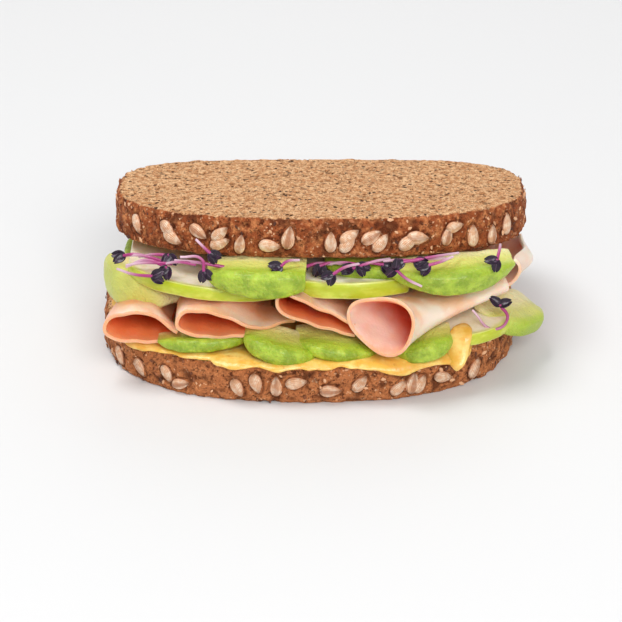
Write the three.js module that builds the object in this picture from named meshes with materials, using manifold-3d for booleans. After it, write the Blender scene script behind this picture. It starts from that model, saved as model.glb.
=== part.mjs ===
// A ham sandwich on seeded wholegrain bread, in millimetres with +Z up.
// The origin is the centre of the lower slice's flat underside. +X runs along the sandwich,
// and -Y is the front, where the ham folds open. The upper slice leans back on the filling.
import * as THREE from "three";
import { mergeVertices } from "three/addons/utils/BufferGeometryUtils.js";
import Module from "manifold-3d";

const wasm = await Module();
wasm.setup();

// ---- Driving dimensions ----
const CLEARANCE = 0.35; // left between two pieces that touch
const WELD = 1e-4; // vertices nearer than this are one vertex
const SHARPEST = 0.4; // limits how far the corners of a grown solid move

const SLICE = {
  length: 137,
  frontDepth: 54.5,
  backDepth: 47,
  frontPower: 2.41, // superellipse powers: the front is rounder than the back
  backPower: 3.5,
  thickness: 13,
  segments: 42,
  crag: 0.4,
  cragRise: 1.7, // the crags change faster up the crust than along it
};
// Profile of the crust from the underside up: how far it is pulled in, at a share of the thickness.
const CRUST_PROFILE = [
  { inset: 0.9, level: 0 },
  { inset: 0, level: 0.16 },
  { inset: -0.1, level: 0.52 },
  { inset: 0.2, level: 0.86 },
  { inset: 1.0, level: 1 },
];
const LID = { x: 4, y: 11.8, z: 34.6, lean: 11.5, depthShare: 0.985 };

const KERNEL = {
  length: 7.6,
  width: 4.6,
  height: 1.3,
  sunk: 0.9,
  sides: 6,
  taper: 0.28,
  rim: 0.5, // least crust left above and below a kernel
  belowTop: 1.2,
  frontSizes: [0.9, 1.1],
};
// Layers of a kernel from its sunk back: share of the outline, and how far it stands out.
const KERNEL_LAYERS = [
  { share: 0.9, y: KERNEL.sunk }, { share: 1, y: -0.35 * KERNEL.height }, { share: 0.45, y: -KERNEL.height },
];
// The kernels that stand out on the front crusts: place along the slice, height and turn in degrees.
const LOWER_FRONT_KERNELS = [
  [-62, 4.2, -60], [-55, 4.6, -50], [-46, 6.0, -60], [-41.5, 3.6, 15], [-23, 5.0, -65], [-17, 7.6, -75],
  [-10.5, 6.4, 90], [-4, 7.6, 10], [7, 4.7, 0], [16.5, 7.0, 50], [29, 3.4, 40], [33.5, 5.6, 80],
  [36, 3.4, 60], [43.5, 5.6, -15], [54, 5.2, 60],
];
const UPPER_FRONT_KERNELS = [
  [-60, 6.5, -65], [-49.5, 9.4, -45], [-48, 4.0, -25], [-39.5, 7.4, -35], [-32.5, 9.0, 40],
  [-32.5, 4.2, 20], [-26, 3.0, 80], [-16.5, 4.0, -5], [-10.5, 8.4, 80], [3, 5.4, 88], [9, 9.4, 35],
  [16, 6.9, 30], [8.5, 3.2, 50], [19, 2.8, 50], [31, 6.0, -5], [28, 2.4, 35], [40.5, 5.9, 75],
  [43, 10.6, 10], [49, 5.0, 88], [55.5, 4.2, 85], [60.5, 6.5, 85],
];
const SCATTERED_KERNELS = {
  perSlice: 10,
  from: 4, // degrees round the right end, the back and the left end
  to: 170,
  jitter: 3,
  levelStep: 0.618, // golden share, so that neighbours lie at different heights
  edgeRoom: 3.2,
  sizes: [0.82, 1.08],
}

const SAUCE = { thickness: 1.3, segments: 48, inset: 0.9, waves: 0.7, bend: 2, offCrust: 2.7 };
// Rings of the sauce: how far each lies back from its edge, and its share of the thickness.
const SAUCE_RINGS = [{ back: 0.2, share: 0.5 }, { back: 1.8, share: 1 }, { back: 8, share: 1 }];
// Where the sauce runs over the crust: angle round the slice in degrees, how far, and how wide.
const DRIPS = [
  { angle: 219, over: 3.2, width: 12 }, { angle: 247, over: 3.6, width: 13 },
  { angle: 268, over: 3, width: 12 }, { angle: 289, over: 3.2, width: 12 },
  { angle: 309, over: 4.6, width: 11 }, { angle: 30, over: 2.4, width: 12 },
  { angle: 78, over: 3.2, width: 12 }, { angle: 118, over: 3.8, width: 11 },
];

// Ham slices folded over: the fold is on the left and the two leaves lie to its right. The lower leaf
// may be shorter (lowerShare), and the lip may run back towards the leaves' ends (sweep, in mm).
const HAM = { thickness: 1.7, rows: 5, rowPower: 1.5, leafColumns: 4, foldColumns: 4, leafGap: 2.5 };
// Shares of the depth over which the lip's outline, its mouth and its level change into the rear's.
const HAM_CHANGE = { outline: 0.2, mouth: 0.6, level: 0.5, sweepFrom: 0.6 };
const HAM_WAVES = { long: 0.3, longPitch: 0.31, short: 0.18, shortPitch: 0.8, lip: 0.8, lipPitch: 0.27 };
const HAM_FOLDS = [
  { name: "ham_1", place: [-66, -43, 16.4],
    length: 23.6, rearLength: 19, depth: 70, mouth: 10.6, rear: 2.6, bow: 9,
    lipClose: [10, 24], rearClose: [13, 20], tilt: 0, level: -0.6, swing: 9 },
  { name: "ham_2", place: [-42.4, -47, 20.4],
    length: 38, rearLength: 30, depth: 86, mouth: 9.2, rear: 3.5, bow: 8,
    lipClose: [9, 27], rearClose: [20, 29], tilt: 0, level: -0.9, swing: 0, sweep: 7, lowerShare: 0.86 },
  { name: "ham_3", place: [-10.2, -47.5, 28.8],
    length: 27, rearLength: 27, depth: 86, mouth: 7.8, rear: 3.5, bow: 4,
    lipClose: [3, 36], rearClose: [16, 28], tilt: -0.33, level: -8.5, swing: 0 },
  { name: "ham_6", place: [64, 40, 20.3],
    length: 34, rearLength: 34, depth: 48, mouth: 3.6, rear: 4.2, bow: 6,
    lipClose: [10, 26], rearClose: [10, 26], tilt: 0, level: 0.5, swing: 0, turn: 180 },
];
// The rolled slice with the round mouth: its axis bends from the lip to the closed far end.
const HAM_ROLL = {
  lip: [23.4, -53, 27.6],
  bend: [30, -37, 23],
  end: [63, -25, 30],
  lipSize: [11.5, 9.7],
  endSize: [6, 3],
  sides: 20,
  rows: 6,
  hollow: 0.8, // share of the length that is open inside
  widthPower: 1.3,
  heightPower: 1.7,
  corner: 0.9, // how far the mouth's three soft corners stand out
  cornerTurn: 135,
  mouthLean: 0.14,
};
// The slice whose right edge curls up outside the filling.
const HAM_CURL = {
  start: 50,
  floor: 28,
  reach: 13,
  radius: 4.8,
  sweep: 150,
  front: -22,
  depth: 46,
  rows: 6,
  flatColumns: 4,
  arcColumns: 6,
  sway: 0.6,
  narrowing: 3, // how far the rear end lies further in, and further down
  sinking: 5.5,
};

// Avocado slices: the peeled side faces -Y before turning, and each end may be cut off square at a share
// of the half length.
const AVOCADO = {
  stations: 5,
  tip: 0.985, // the ends stop just short of a point
  fullness: 2.6,
  bluntness: 0.55,
  thinning: 0.45, // share of the depth that is left at the ends
  uneven: 0.25,
};
// Cross-section of a slice: inward from the peeled side as a share of the depth, and up as a share of
// half the height.
const AVOCADO_SECTION = [[-0.66, -1], [-0.93, -0.55], [-0.93, 0.55], [-0.66, 1], [0.4, 0.55], [0.4, -0.55]];
const AVOCADOS = [
  { name: "avocado_1", place: [-17, -40, 41], turn: [8, 0, -3],
    length: 33, height: 9.4, depth: 12, bend: 2, cut: [-1, 0.8] },
  { name: "avocado_2", place: [46.6, -36, 39.8], turn: [12, -2, 14],
    length: 42, height: 10, depth: 12, bend: 4, cut: [-1, 1], fullness: 1.7 },
  { name: "avocado_3", place: [22, -30, 40], turn: [6, 3, 0],
    length: 34, height: 5.4, depth: 11, bend: 2, cut: [-1, 1] },
  { name: "avocado_4", place: [-55.5, -18.5, 27.4], turn: [0, 8, -58],
    length: 34, height: 12.6, depth: 11, bend: 5, cut: [-1, 1] },
  { name: "avocado_5", place: [-34, -40, 17.8], turn: [0, -3, 0],
    length: 30, height: 5, depth: 12, bend: 2, cut: [-1, 1] },
  { name: "avocado_6", place: [-9, -44, 18.1], turn: [10, 14, -6],
    length: 25, height: 7.2, depth: 12, bend: 2, cut: [-1, 0.86] },
  { name: "avocado_7", place: [9, -41.5, 17.2], turn: [6, 8, 0],
    length: 27, height: 4.6, depth: 12, bend: 2, cut: [-1, 1] },
  { name: "avocado_8", place: [36.6, -41.8, 17.4], turn: [6, -12, 6],
    length: 20, height: 5.8, depth: 12, bend: 2, cut: [-1, 0.84] },
  { name: "avocado_9", place: [65, -18, 17.6], turn: [8, 24, 46],
    length: 27, height: 7, depth: 13, bend: 2, cut: [-1, 0.9] },
  { name: "avocado_10", place: [-52, 16, 22.6], turn: [0, 0, -100],
    length: 31, height: 5, depth: 11, bend: 5, cut: [-1, 1] },
  { name: "avocado_11", place: [-26, 36, 27.1], turn: [-9, 0, 180],
    length: 36, height: 4.4, depth: 11, bend: 3, cut: [-1, 0.9] },
  { name: "avocado_12", place: [38, 33, 27.4], turn: [-9, 0, 172],
    length: 36, height: 4.6, depth: 12, bend: 4, cut: [-1, 1] },
  { name: "avocado_13", place: [-36, 35, 17.2], turn: [0, 0, 186],
    length: 34, height: 4.2, depth: 13, bend: 4, cut: [-1, 1] },
  { name: "avocado_14", place: [6, 38, 17.2], turn: [0, 0, 178],
    length: 34, height: 4.2, depth: 13, bend: 3, cut: [-0.9, 1] },
];

// Apple slices: round slices cut off at shares of their radius: on the left, on the right and at the back.
const APPLE = { segments: 20, edge: 0.7 };
const APPLES = [
  { name: "apple_1", place: [-30.5, -10.5, 28.6], turn: [-5, 5, 0],
    radius: 33.5, thickness: 4.4, cut: [-0.86, 0.62, 0.85] },
  { name: "apple_2", place: [12, -10, 30.4], turn: [-4, 0, 0],
    radius: 35.5, thickness: 5.4, cut: [-0.56, 0.57, 0.2] },
  { name: "apple_3", place: [46, -22.5, 15.1], turn: [0, 0, 0],
    radius: 21.5, thickness: 4.3, cut: [-1, 1, 0.9] },
  { name: "apple_4", place: [4, 22, 26.4], turn: [-11, 0, 0], radius: 20, thickness: 3.8, cut: [-1, 1, 1] },
  { name: "apple_5", place: [44, 20, 15.1], turn: [0, 0, 0], radius: 20, thickness: 4, cut: [-1, 1, 1] },
];

// Radish sprouts: the course of each stem, and its seed leaves as directions from the stem's end.
const SPROUT = {
  stemRadius: 0.65,
  stemSides: 4,
  leafLength: 4.8,
  leafWidth: 3.4,
  leafThickness: 0.5,
  leafWidths: [0.35, 1, 0.4], // shares of the width from root to tip
  cup: 0.5,
  droop: 0.35,
  rootOverlap: 0.4,
};
const SPROUTS = [
  { name: "sprout_1", stem: [[-50, -29, 40], [-56, -31, 42.4], [-60, -29, 41]],
    leaves: [[-1, 0, 0.1], [-0.7, -0.5, -0.3]] },
  { name: "sprout_2", stem: [[-59, -33, 38.8], [-52, -36, 42.6], [-45.5, -38.5, 41]],
    leaves: [[0, -0.5, -1], [-0.9, -0.4, -0.6]] },
  { name: "sprout_3", stem: [[-62, -32, 37.6], [-56, -38.5, 38.6], [-50, -41.5, 39.4]],
    leaves: [[0.9, -0.2, -0.5], [1, 0, 0.6]] },
  { name: "sprout_4", stem: [[-41, -42, 46.4], [-34, -44.5, 46.6], [-33.5, -45.5, 43]],
    leaves: [[-0.2, -0.2, -1], [0.8, -0.2, -0.7]] },
  { name: "sprout_5", stem: [[-36, -42, 52.6], [-33, -43.5, 50], [-31.4, -44, 48.6]],
    leaves: [[0.5, -0.2, -1], [0.9, 0, -0.3]] },
  { name: "sprout_6", stem: [[-3, -43.5, 46], [-7, -46, 46.6], [-9, -47.5, 45.6]],
    leaves: [[-0.9, -0.1, 0.2], [-0.6, -0.5, -0.5]] },
  { name: "sprout_7", stem: [[16, -42, 44], [11, -46, 44.4], [7.6, -48, 43]],
    leaves: [[-0.3, -0.2, -1], [-0.9, -0.1, -0.2]] },
  { name: "sprout_8", stem: [[36, -47.5, 38.6], [31, -48, 41.6], [27.6, -47, 44.4]],
    leaves: [[-0.7, 0, -0.6], [0.1, -0.2, 0.9]] },
  { name: "sprout_9", stem: [[46, -43, 47], [42, -46.5, 46.8], [38, -47.5, 46]],
    leaves: [[-1, 0, -0.3], [-0.5, -0.2, -0.8]] },
  { name: "sprout_10", stem: [[61.5, -35, 47.6], [61, -40, 48.2], [60, -43.4, 45.8]],
    leaves: [[-0.1, -0.2, -1], [-1, -0.1, 0.1]] },
  { name: "sprout_11", stem: [[53, -35.5, 24.6], [60, -37.5, 18.6], [64.5, -36, 21.6], [62, -34.5, 26]],
    leaves: [[-0.7, 0, 0.6], [0.8, 0, 0.3]] },
  { name: "sprout_12", stem: [[-38, 50, 28.4], [-34, 52.5, 27.4], [-30, 53.5, 26]],
    leaves: [[0.4, 0.3, -1], [-0.8, 0.3, -0.5]] },
  { name: "sprout_13", stem: [[14, 49.5, 27.6], [18, 52, 27.4], [22, 53, 26]],
    leaves: [[0.7, 0.2, -0.8], [-0.5, 0.3, -1]] },
];

// ---- Small helpers ----
const radians = (degrees) => (degrees * Math.PI) / 180;
const mix = (a, b, t) => a + (b - a) * t;
const clamp01 = (t) => Math.min(1, Math.max(0, t));
const smooth = (t) => clamp01(t) ** 2 * (3 - 2 * clamp01(t));
const bump = (x, width) => Math.exp(-((x / width) ** 2));
const steps = (count) => Array.from({ length: count }, (_, i) => i);

/** Seeded random numbers between 0 and 1. */
function randomFrom(seed) {
  let state = seed;
  return () => {
    state = (state * 1664525 + 1013904223) % 4294967296;
    return state / 4294967296;
  };
}

/** Smooth uneven relief between about -1 and 1: a long and a short wave, their pitches in radians per mm. */
function ripple(x, y, z) {
  const long = Math.sin(x * 0.21 + y * 0.17 + 1.3) * Math.cos(y * 0.26 - z * 0.31);
  const short = Math.sin(x * 0.83 + z * 0.9) * Math.sin(y * 0.71 - z * 0.6 + 0.7);
  return 0.5 * long + 0.5 * short;
}

// ---- Closed solids from grids of points ----

/** A solid from points and triangles, turned so that its faces point outward. */
function solid(points, triangles) {
  const volume = triangles.reduce((sum, [a, b, c]) => {
    const normal = new THREE.Vector3().crossVectors(points[b], points[c]);
    return sum + points[a].dot(normal);
  }, 0);
  const outward = volume > 0 ? triangles : triangles.map(([a, b, c]) => [a, c, b]);
  const geometry = new THREE.BufferGeometry().setFromPoints(points);
  geometry.setIndex(outward.flat());
  geometry.computeVertexNormals();
  return geometry;
}

/** The two triangles of a four-sided face. */
const quad = (a, b, c, d) => [[a, b, c], [a, c, d]];

/** A skin through closed loops of points, with a fan over the first and the last loop. */
function loft(loops) {
  const count = loops[0].length;
  const points = loops.flat();
  const triangles = [];
  for (let row = 0; row < loops.length - 1; row++) {
    for (let i = 0; i < count; i++) {
      const j = (i + 1) % count;
      const low = row * count;
      const high = low + count;
      triangles.push(...quad(low + i, low + j, high + j, high + i));
    }
  }
  const middle = (loop) => loop.reduce((sum, p) => sum.add(p), new THREE.Vector3()).divideScalar(count);
  const firstHub = points.push(middle(loops[0])) - 1;
  const lastHub = points.push(middle(loops.at(-1))) - 1;
  const lastRow = (loops.length - 1) * count;
  for (let i = 0; i < count; i++) {
    const j = (i + 1) % count;
    triangles.push([firstHub, j, i], [lastHub, lastRow + i, lastRow + j]);
  }
  return solid(points, triangles);
}

/** A thin solid sheet round a grid of middle points, both faces split into triangles alike. */
function sheet(rows, thickness) {
  const height = rows.length;
  const width = rows[0].length;
  const at = (i, j) => rows[Math.min(height - 1, Math.max(0, i))][Math.min(width - 1, Math.max(0, j))];
  const front = [];
  const back = [];
  for (let i = 0; i < height; i++) {
    for (let j = 0; j < width; j++) {
      const along = at(i + 1, j).clone().sub(at(i - 1, j));
      const across = at(i, j + 1).clone().sub(at(i, j - 1));
      const normal = along.cross(across).normalize().multiplyScalar(thickness / 2);
      front.push(at(i, j).clone().add(normal));
      back.push(at(i, j).clone().sub(normal));
    }
  }
  const offset = height * width;
  const triangles = [];
  const wall = (a, b) => triangles.push(...quad(a, b, b + offset, a + offset));
  for (let i = 0; i < height - 1; i++) {
    for (let j = 0; j < width - 1; j++) {
      const a = i * width + j;
      triangles.push(...quad(a, a + width, a + width + 1, a + 1));
      triangles.push(...quad(a + offset, a + 1 + offset, a + width + 1 + offset, a + width + offset));
    }
    wall((i + 1) * width, i * width);
    wall(i * width + width - 1, (i + 1) * width + width - 1);
  }
  for (let j = 0; j < width - 1; j++) {
    wall(j, j + 1);
    wall((height - 1) * width + j + 1, (height - 1) * width + j);
  }
  return solid([...front, ...back], triangles);
}

/** A round rod of changing thickness along a curve. */
function rod(curve, radiusAt, sides, stations) {
  const frames = curve.computeFrenetFrames(stations, false);
  const loops = steps(stations + 1).map((i) => {
    const t = i / stations;
    const centre = curve.getPointAt(t);
    return steps(sides).map((k) => {
      const angle = (2 * Math.PI * k) / sides;
      const side = frames.normals[i].clone().multiplyScalar(Math.cos(angle) * radiusAt(t));
      const up = frames.binormals[i].clone().multiplyScalar(Math.sin(angle) * radiusAt(t));
      return centre.clone().add(side).add(up);
    });
  });
  return loft(loops);
}

// ---- Joining and cutting ----

/** The geometry as a solid that can be joined and cut. */
function toSolid(geometry) {
  const bare = geometry.clone();
  bare.deleteAttribute("normal");
  bare.deleteAttribute("uv");
  const merged = mergeVertices(bare, WELD);
  const vertProperties = new Float32Array(merged.attributes.position.array);
  const triVerts = new Uint32Array(merged.index.array);
  return new wasm.Manifold(new wasm.Mesh({ numProp: 3, vertProperties, triVerts }));
}

/** The largest single body of a cut solid, as a geometry. */
function toGeometry(solidBody) {
  const bodies = solidBody.decompose().sort((a, b) => b.volume() - a.volume());
  const mesh = bodies[0].getMesh();
  const geometry = new THREE.BufferGeometry();
  geometry.setAttribute("position", new THREE.BufferAttribute(new Float32Array(mesh.vertProperties), 3));
  geometry.setIndex(new THREE.BufferAttribute(new Uint32Array(mesh.triVerts), 1));
  geometry.computeVertexNormals();
  return geometry;
}

const joined = (geometries) => toGeometry(geometries.map(toSolid).reduce((sum, next) => sum.add(next)));

/** The geometry with every face moved out by a distance; a sharp corner moves further, up to a limit. */
function grown(geometry, distance) {
  const bare = geometry.clone();
  bare.deleteAttribute("normal");
  bare.deleteAttribute("uv");
  const merged = mergeVertices(bare, WELD);
  merged.computeVertexNormals();
  const { position, normal } = merged.attributes;
  const corners = merged.index.array;
  const vertexAt = (i) => new THREE.Vector3().fromBufferAttribute(position, i);
  const normalAt = (i) => new THREE.Vector3().fromBufferAttribute(normal, i);
  const sharpness = new Float32Array(position.count).fill(1);
  for (let i = 0; i < corners.length; i += 3) {
    const [a, b, c] = corners.slice(i, i + 3);
    const face = new THREE.Triangle(vertexAt(a), vertexAt(b), vertexAt(c)).getNormal(new THREE.Vector3());
    for (const corner of [a, b, c]) {
      sharpness[corner] = Math.min(sharpness[corner], face.dot(normalAt(corner)));
    }
  }
  const moved = steps(position.count).map((i) => {
    const reach = distance / Math.max(SHARPEST, sharpness[i]);
    return vertexAt(i).addScaledVector(normalAt(i), reach);
  });
  moved.forEach((point, i) => position.setXYZ(i, ...point.toArray()));
  return merged;
}

/** Cuts a placed mesh back where it comes nearer than the clearance to its neighbours. */
function fitRound(mesh, neighbours) {
  mesh.updateWorldMatrix(true, false);
  const toLocal = mesh.matrixWorld.clone().invert();
  let body = toSolid(mesh.geometry);
  for (const neighbour of neighbours) {
    neighbour.updateWorldMatrix(true, false);
    const placement = toLocal.clone().multiply(neighbour.matrixWorld);
    const clearance = toSolid(grown(neighbour.geometry, CLEARANCE).applyMatrix4(placement));
    if (body.intersect(clearance).isEmpty()) continue;
    body = body.subtract(clearance);
    // Thin flat edges grow too little upwards, so the neighbour is also cut out a clearance higher and lower.
    for (const lift of [CLEARANCE, -CLEARANCE]) {
      const lifted = neighbour.geometry.clone().applyMatrix4(neighbour.matrixWorld).translate(0, 0, lift);
      body = body.subtract(toSolid(lifted.applyMatrix4(toLocal)));
    }
  }
  mesh.geometry = toGeometry(body);
}

// ---- Finishes ----
const FINISH = {
  bread: { color: 0x8f5c3a, roughness: 0.9 },
  sauce: { color: 0xe8b54a, roughness: 0.35 },
  ham: { color: 0xf0bfa4, roughness: 0.45 },
  avocado: { color: 0xa9cc4c, roughness: 0.5 },
  apple: { color: 0xbfd23a, roughness: 0.35 },
  cress: { color: 0x4a2a4c, roughness: 0.5 },
};

/** A named mesh of one finish at its place, turned by angles in degrees. */
function piece(name, geometry, finish, place = [0, 0, 0], turn = [0, 0, 0]) {
  const material = new THREE.MeshStandardMaterial({ ...FINISH[finish], metalness: 0 });
  const mesh = new THREE.Mesh(geometry, material);
  mesh.name = name;
  mesh.position.set(...place);
  mesh.rotation.set(...turn.map(radians));
  return mesh;
}

// ---- Bread ----

/** A point of the slice's outline at an angle, pulled in by an inset. */
function outlinePoint(angle, inset = 0, depthShare = 1) {
  const [c, s] = [Math.cos(angle), Math.sin(angle)];
  const power = s < 0 ? SLICE.frontPower : SLICE.backPower;
  const depth = (s < 0 ? SLICE.frontDepth : SLICE.backDepth) * depthShare;
  const reach = (Math.abs(c) ** power + Math.abs(s) ** power) ** (-1 / power);
  return new THREE.Vector2((SLICE.length / 2 - inset) * reach * c, (depth - inset) * reach * s);
}

/** The outline's outward direction at an angle. */
function outlineNormal(angle, depthShare = 1) {
  const step = 0.01;
  const ahead = outlinePoint(angle + step, 0, depthShare);
  const behind = outlinePoint(angle - step, 0, depthShare);
  return new THREE.Vector2(ahead.y - behind.y, behind.x - ahead.x).normalize();
}

/** The angle round the outline of a point on the front, given its place along the slice. */
function frontAngle(x) {
  const share = x / (SLICE.length / 2);
  const depth = (1 - Math.abs(share) ** SLICE.frontPower) ** (1 / SLICE.frontPower);
  return Math.atan2(-depth, share);
}

/** One bare slice: flat cut faces and a cragged crust between them. */
function bareSlice(depthShare) {
  const loops = CRUST_PROFILE.map(({ inset, level }) =>
    steps(SLICE.segments).map((i) => {
      const angle = (2 * Math.PI * i) / SLICE.segments;
      const z = level * SLICE.thickness;
      const edge = outlinePoint(angle, inset, depthShare);
      const relief = SLICE.crag * ripple(edge.x, edge.y, z * SLICE.cragRise);
      const normal = outlineNormal(angle, depthShare).multiplyScalar(relief);
      return new THREE.Vector3(edge.x + normal.x, edge.y + normal.y, z);
    }),
  );
  return loft(loops);
}

/** A sunflower kernel: a flat drop along +X that bulges towards -Y, its back sunk in the crust. */
function kernel(size) {
  const { length, width, sides, taper } = KERNEL;
  const loops = KERNEL_LAYERS.map(({ share, y }) =>
    steps(sides).map((i) => {
      const angle = (2 * Math.PI * i) / sides;
      const drop = 1 - taper * Math.cos(angle);
      const x = (length / 2) * share * Math.cos(angle);
      const z = (width / 2) * share * drop * Math.sin(angle);
      return new THREE.Vector3(x * size, y, z * size);
    }),
  );
  return loft(loops);
}

/** A kernel pressed into the crust at an angle round the slice. */
function kernelOnCrust(angle, height, turn, size, depthShare) {
  const spot = outlinePoint(angle, 0, depthShare);
  const normal = outlineNormal(angle, depthShare);
  const [rise, run] = [Math.abs(Math.sin(radians(turn))), Math.abs(Math.cos(radians(turn)))];
  const half = (size * (KERNEL.length * rise + KERNEL.width * run)) / 2 + KERNEL.rim;
  const level = THREE.MathUtils.clamp(height, half, SLICE.thickness - half - KERNEL.belowTop);
  const place = new THREE.Matrix4()
    .makeTranslation(spot.x, spot.y, level)
    .multiply(new THREE.Matrix4().makeRotationZ(Math.atan2(normal.y, normal.x) + Math.PI / 2))
    .multiply(new THREE.Matrix4().makeRotationY(-radians(turn)));
  return kernel(size).applyMatrix4(place);
}

/** Kernels spread evenly over the crust round the ends and the back. */
function scatteredKernels(seed, depthShare) {
  const random = randomFrom(seed);
  const { perSlice, from, to, jitter, levelStep, edgeRoom, sizes } = SCATTERED_KERNELS;
  return steps(perSlice).map((i) => {
    const angle = radians(mix(from, to, (i + 0.5) / perSlice) + jitter * (random() - 0.5));
    const height = mix(edgeRoom, SLICE.thickness - edgeRoom, (i * levelStep) % 1);
    return kernelOnCrust(angle, height, 180 * random(), mix(...sizes, random()), depthShare);
  });
}

function seededSlice(frontKernels, seed, depthShare) {
  const random = randomFrom(seed + 1);
  const front = frontKernels.map(([x, height, turn]) =>
    kernelOnCrust(frontAngle(x), height, turn, mix(...KERNEL.frontSizes, random()), depthShare),
  );
  return joined([bareSlice(depthShare), ...front, ...scatteredKernels(seed, depthShare)]);
}

// ---- Sauce ----

/** How far the sauce reaches beyond the slice's edge at an angle. */
function sauceReach(angle) {
  const waves = SAUCE.waves * Math.sin(7 * angle + 0.6) * Math.cos(3 * angle);
  const drips = DRIPS.map((drip) => {
    const ahead = THREE.MathUtils.radToDeg(angle) - drip.angle;
    const away = THREE.MathUtils.euclideanModulo(ahead + 180, 360) - 180;
    return drip.over * bump(away, drip.width);
  });
  return waves - SAUCE.inset + drips.reduce((sum, next) => sum + next, 0);
}

/** A point of the sauce: along the slice's top, then down the crust past its edge. */
function saucePoint(angle, back, lift) {
  const { bend, thickness, offCrust } = SAUCE;
  const run = sauceReach(angle) - back;
  const turn = THREE.MathUtils.clamp(run / bend, 0, Math.PI / 2);
  const flat = Math.max(0, -run);
  const fall = Math.max(0, run - (bend * Math.PI) / 2);
  const out = (bend + offCrust + lift) * Math.sin(turn);
  const edge = outlinePoint(angle, bend + flat - out);
  const middle = SLICE.thickness + CLEARANCE + thickness / 2;
  const z = middle - bend * (1 - Math.cos(turn)) - fall + lift * Math.cos(turn);
  return new THREE.Vector3(edge.x, edge.y, z);
}

/** The sauce spread over the lower slice, its underside then its top. */
function sauceLayer() {
  const ring = ({ back, share }, side) =>
    steps(SAUCE.segments).map((i) =>
      saucePoint((2 * Math.PI * i) / SAUCE.segments, back, (side * share * SAUCE.thickness) / 2),
    );
  const under = SAUCE_RINGS.toReversed().map((rings) => ring(rings, -1));
  const over = SAUCE_RINGS.map((rings) => ring(rings, 1));
  return loft([...under, ...over]);
}

// ---- Ham ----

/** A point of a folded slice: s runs from the lower leaf's end round the fold, v from lip to rear. */
function foldPoint(fold, s, v) {
  const { sweep = 0, lowerShare = 1 } = fold;
  const toRear = smooth(v / HAM_CHANGE.outline);
  const mouth = mix(fold.mouth, fold.rear, smooth(v / HAM_CHANGE.mouth));
  const start = mix(fold.lipClose[0], fold.rearClose[0], toRear);
  const end = mix(fold.lipClose[1], fold.rearClose[1], toRear);
  let x;
  let z;
  if (Math.abs(s) < 1) {
    const angle = (s * Math.PI) / 2;
    x = fold.bow * (1 - Math.cos(angle));
    z = (mouth / 2) * (1 + Math.sin(angle));
  } else {
    const reach = mix(fold.length, fold.rearLength, toRear) * (s < 0 ? lowerShare : 1);
    x = mix(fold.bow, reach, Math.abs(s) - 1);
    const closing = smooth((x - start) / (end - start));
    z = s < 0 ? 0 : mix(mouth, Math.min(mouth, HAM.leafGap), closing);
  }
  const { sweepFrom } = HAM_CHANGE;
  const back = sweep * smooth((x / fold.length - sweepFrom) / (1 - sweepFrom)) * (1 - v);
  const { long, longPitch, short, shortPitch, lip, lipPitch } = HAM_WAVES;
  const longWave = long * Math.sin(longPitch * x + 5 * v + fold.length);
  const shortWave = short * Math.sin(shortPitch * x + 9 * v);
  const lipWave = lip * Math.sin(lipPitch * x + s * 2) * (1 - v);
  const lean = mix(fold.tilt * x, fold.level, smooth(v / HAM_CHANGE.level));
  const y = v * fold.depth + lipWave + back;
  return new THREE.Vector3(x + fold.swing * v, y, z + lean + longWave + shortWave);
}

function hamFold(fold) {
  const { leafColumns, foldColumns, rows, rowPower } = HAM;
  const leaf = steps(leafColumns).map((i) => 2 - i / leafColumns);
  const round = steps(2 * foldColumns + 1).map((i) => 1 - i / foldColumns);
  const course = [...leaf.map((s) => -s), ...round.map((s) => -s), ...leaf.toReversed()];
  const grid = steps(rows + 1).map((i) => {
    const v = (i / rows) ** rowPower;
    return course.map((s) => foldPoint(fold, s, v));
  });
  return sheet(grid, HAM.thickness);
}

/** A loop round the rolled slice's axis at a share of its length, moved inward by a distance. */
function rollLoop(v, inward) {
  const { lip, bend, end, lipSize, endSize, sides, corner, cornerTurn, mouthLean } = HAM_ROLL;
  const axis = new THREE.QuadraticBezierCurve3(...[lip, bend, end].map((p) => new THREE.Vector3(...p)));
  const centre = axis.getPoint(v);
  const heading = axis.getTangent(v);
  const side = new THREE.Vector3(heading.y, -heading.x, 0).normalize();
  const wide = mix(lipSize[0], endSize[0], v ** HAM_ROLL.widthPower) - inward;
  const tall = mix(endSize[1], lipSize[1], (1 - v) ** HAM_ROLL.heightPower) - inward;
  return steps(sides).map((i) => {
    const angle = (2 * Math.PI * i) / sides;
    const dent = corner * Math.cos(3 * angle - radians(cornerTurn)) * (1 - v);
    const up = (tall + dent) * Math.sin(angle);
    const point = centre.clone().addScaledVector(side, (wide + dent) * Math.cos(angle));
    return point.add(new THREE.Vector3(0, mouthLean * up, up));
  });
}

/** The rolled slice: an outer wall from lip to far end, and an inner wall back out to the lip. */
function hamRoll() {
  const { rows, hollow } = HAM_ROLL;
  const outer = steps(rows + 1).map((i) => rollLoop(1 - i / rows, 0));
  const inner = steps(rows).map((i) => rollLoop((hollow * i) / (rows - 1), HAM.thickness));
  return loft([...outer, ...inner]);
}

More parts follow.
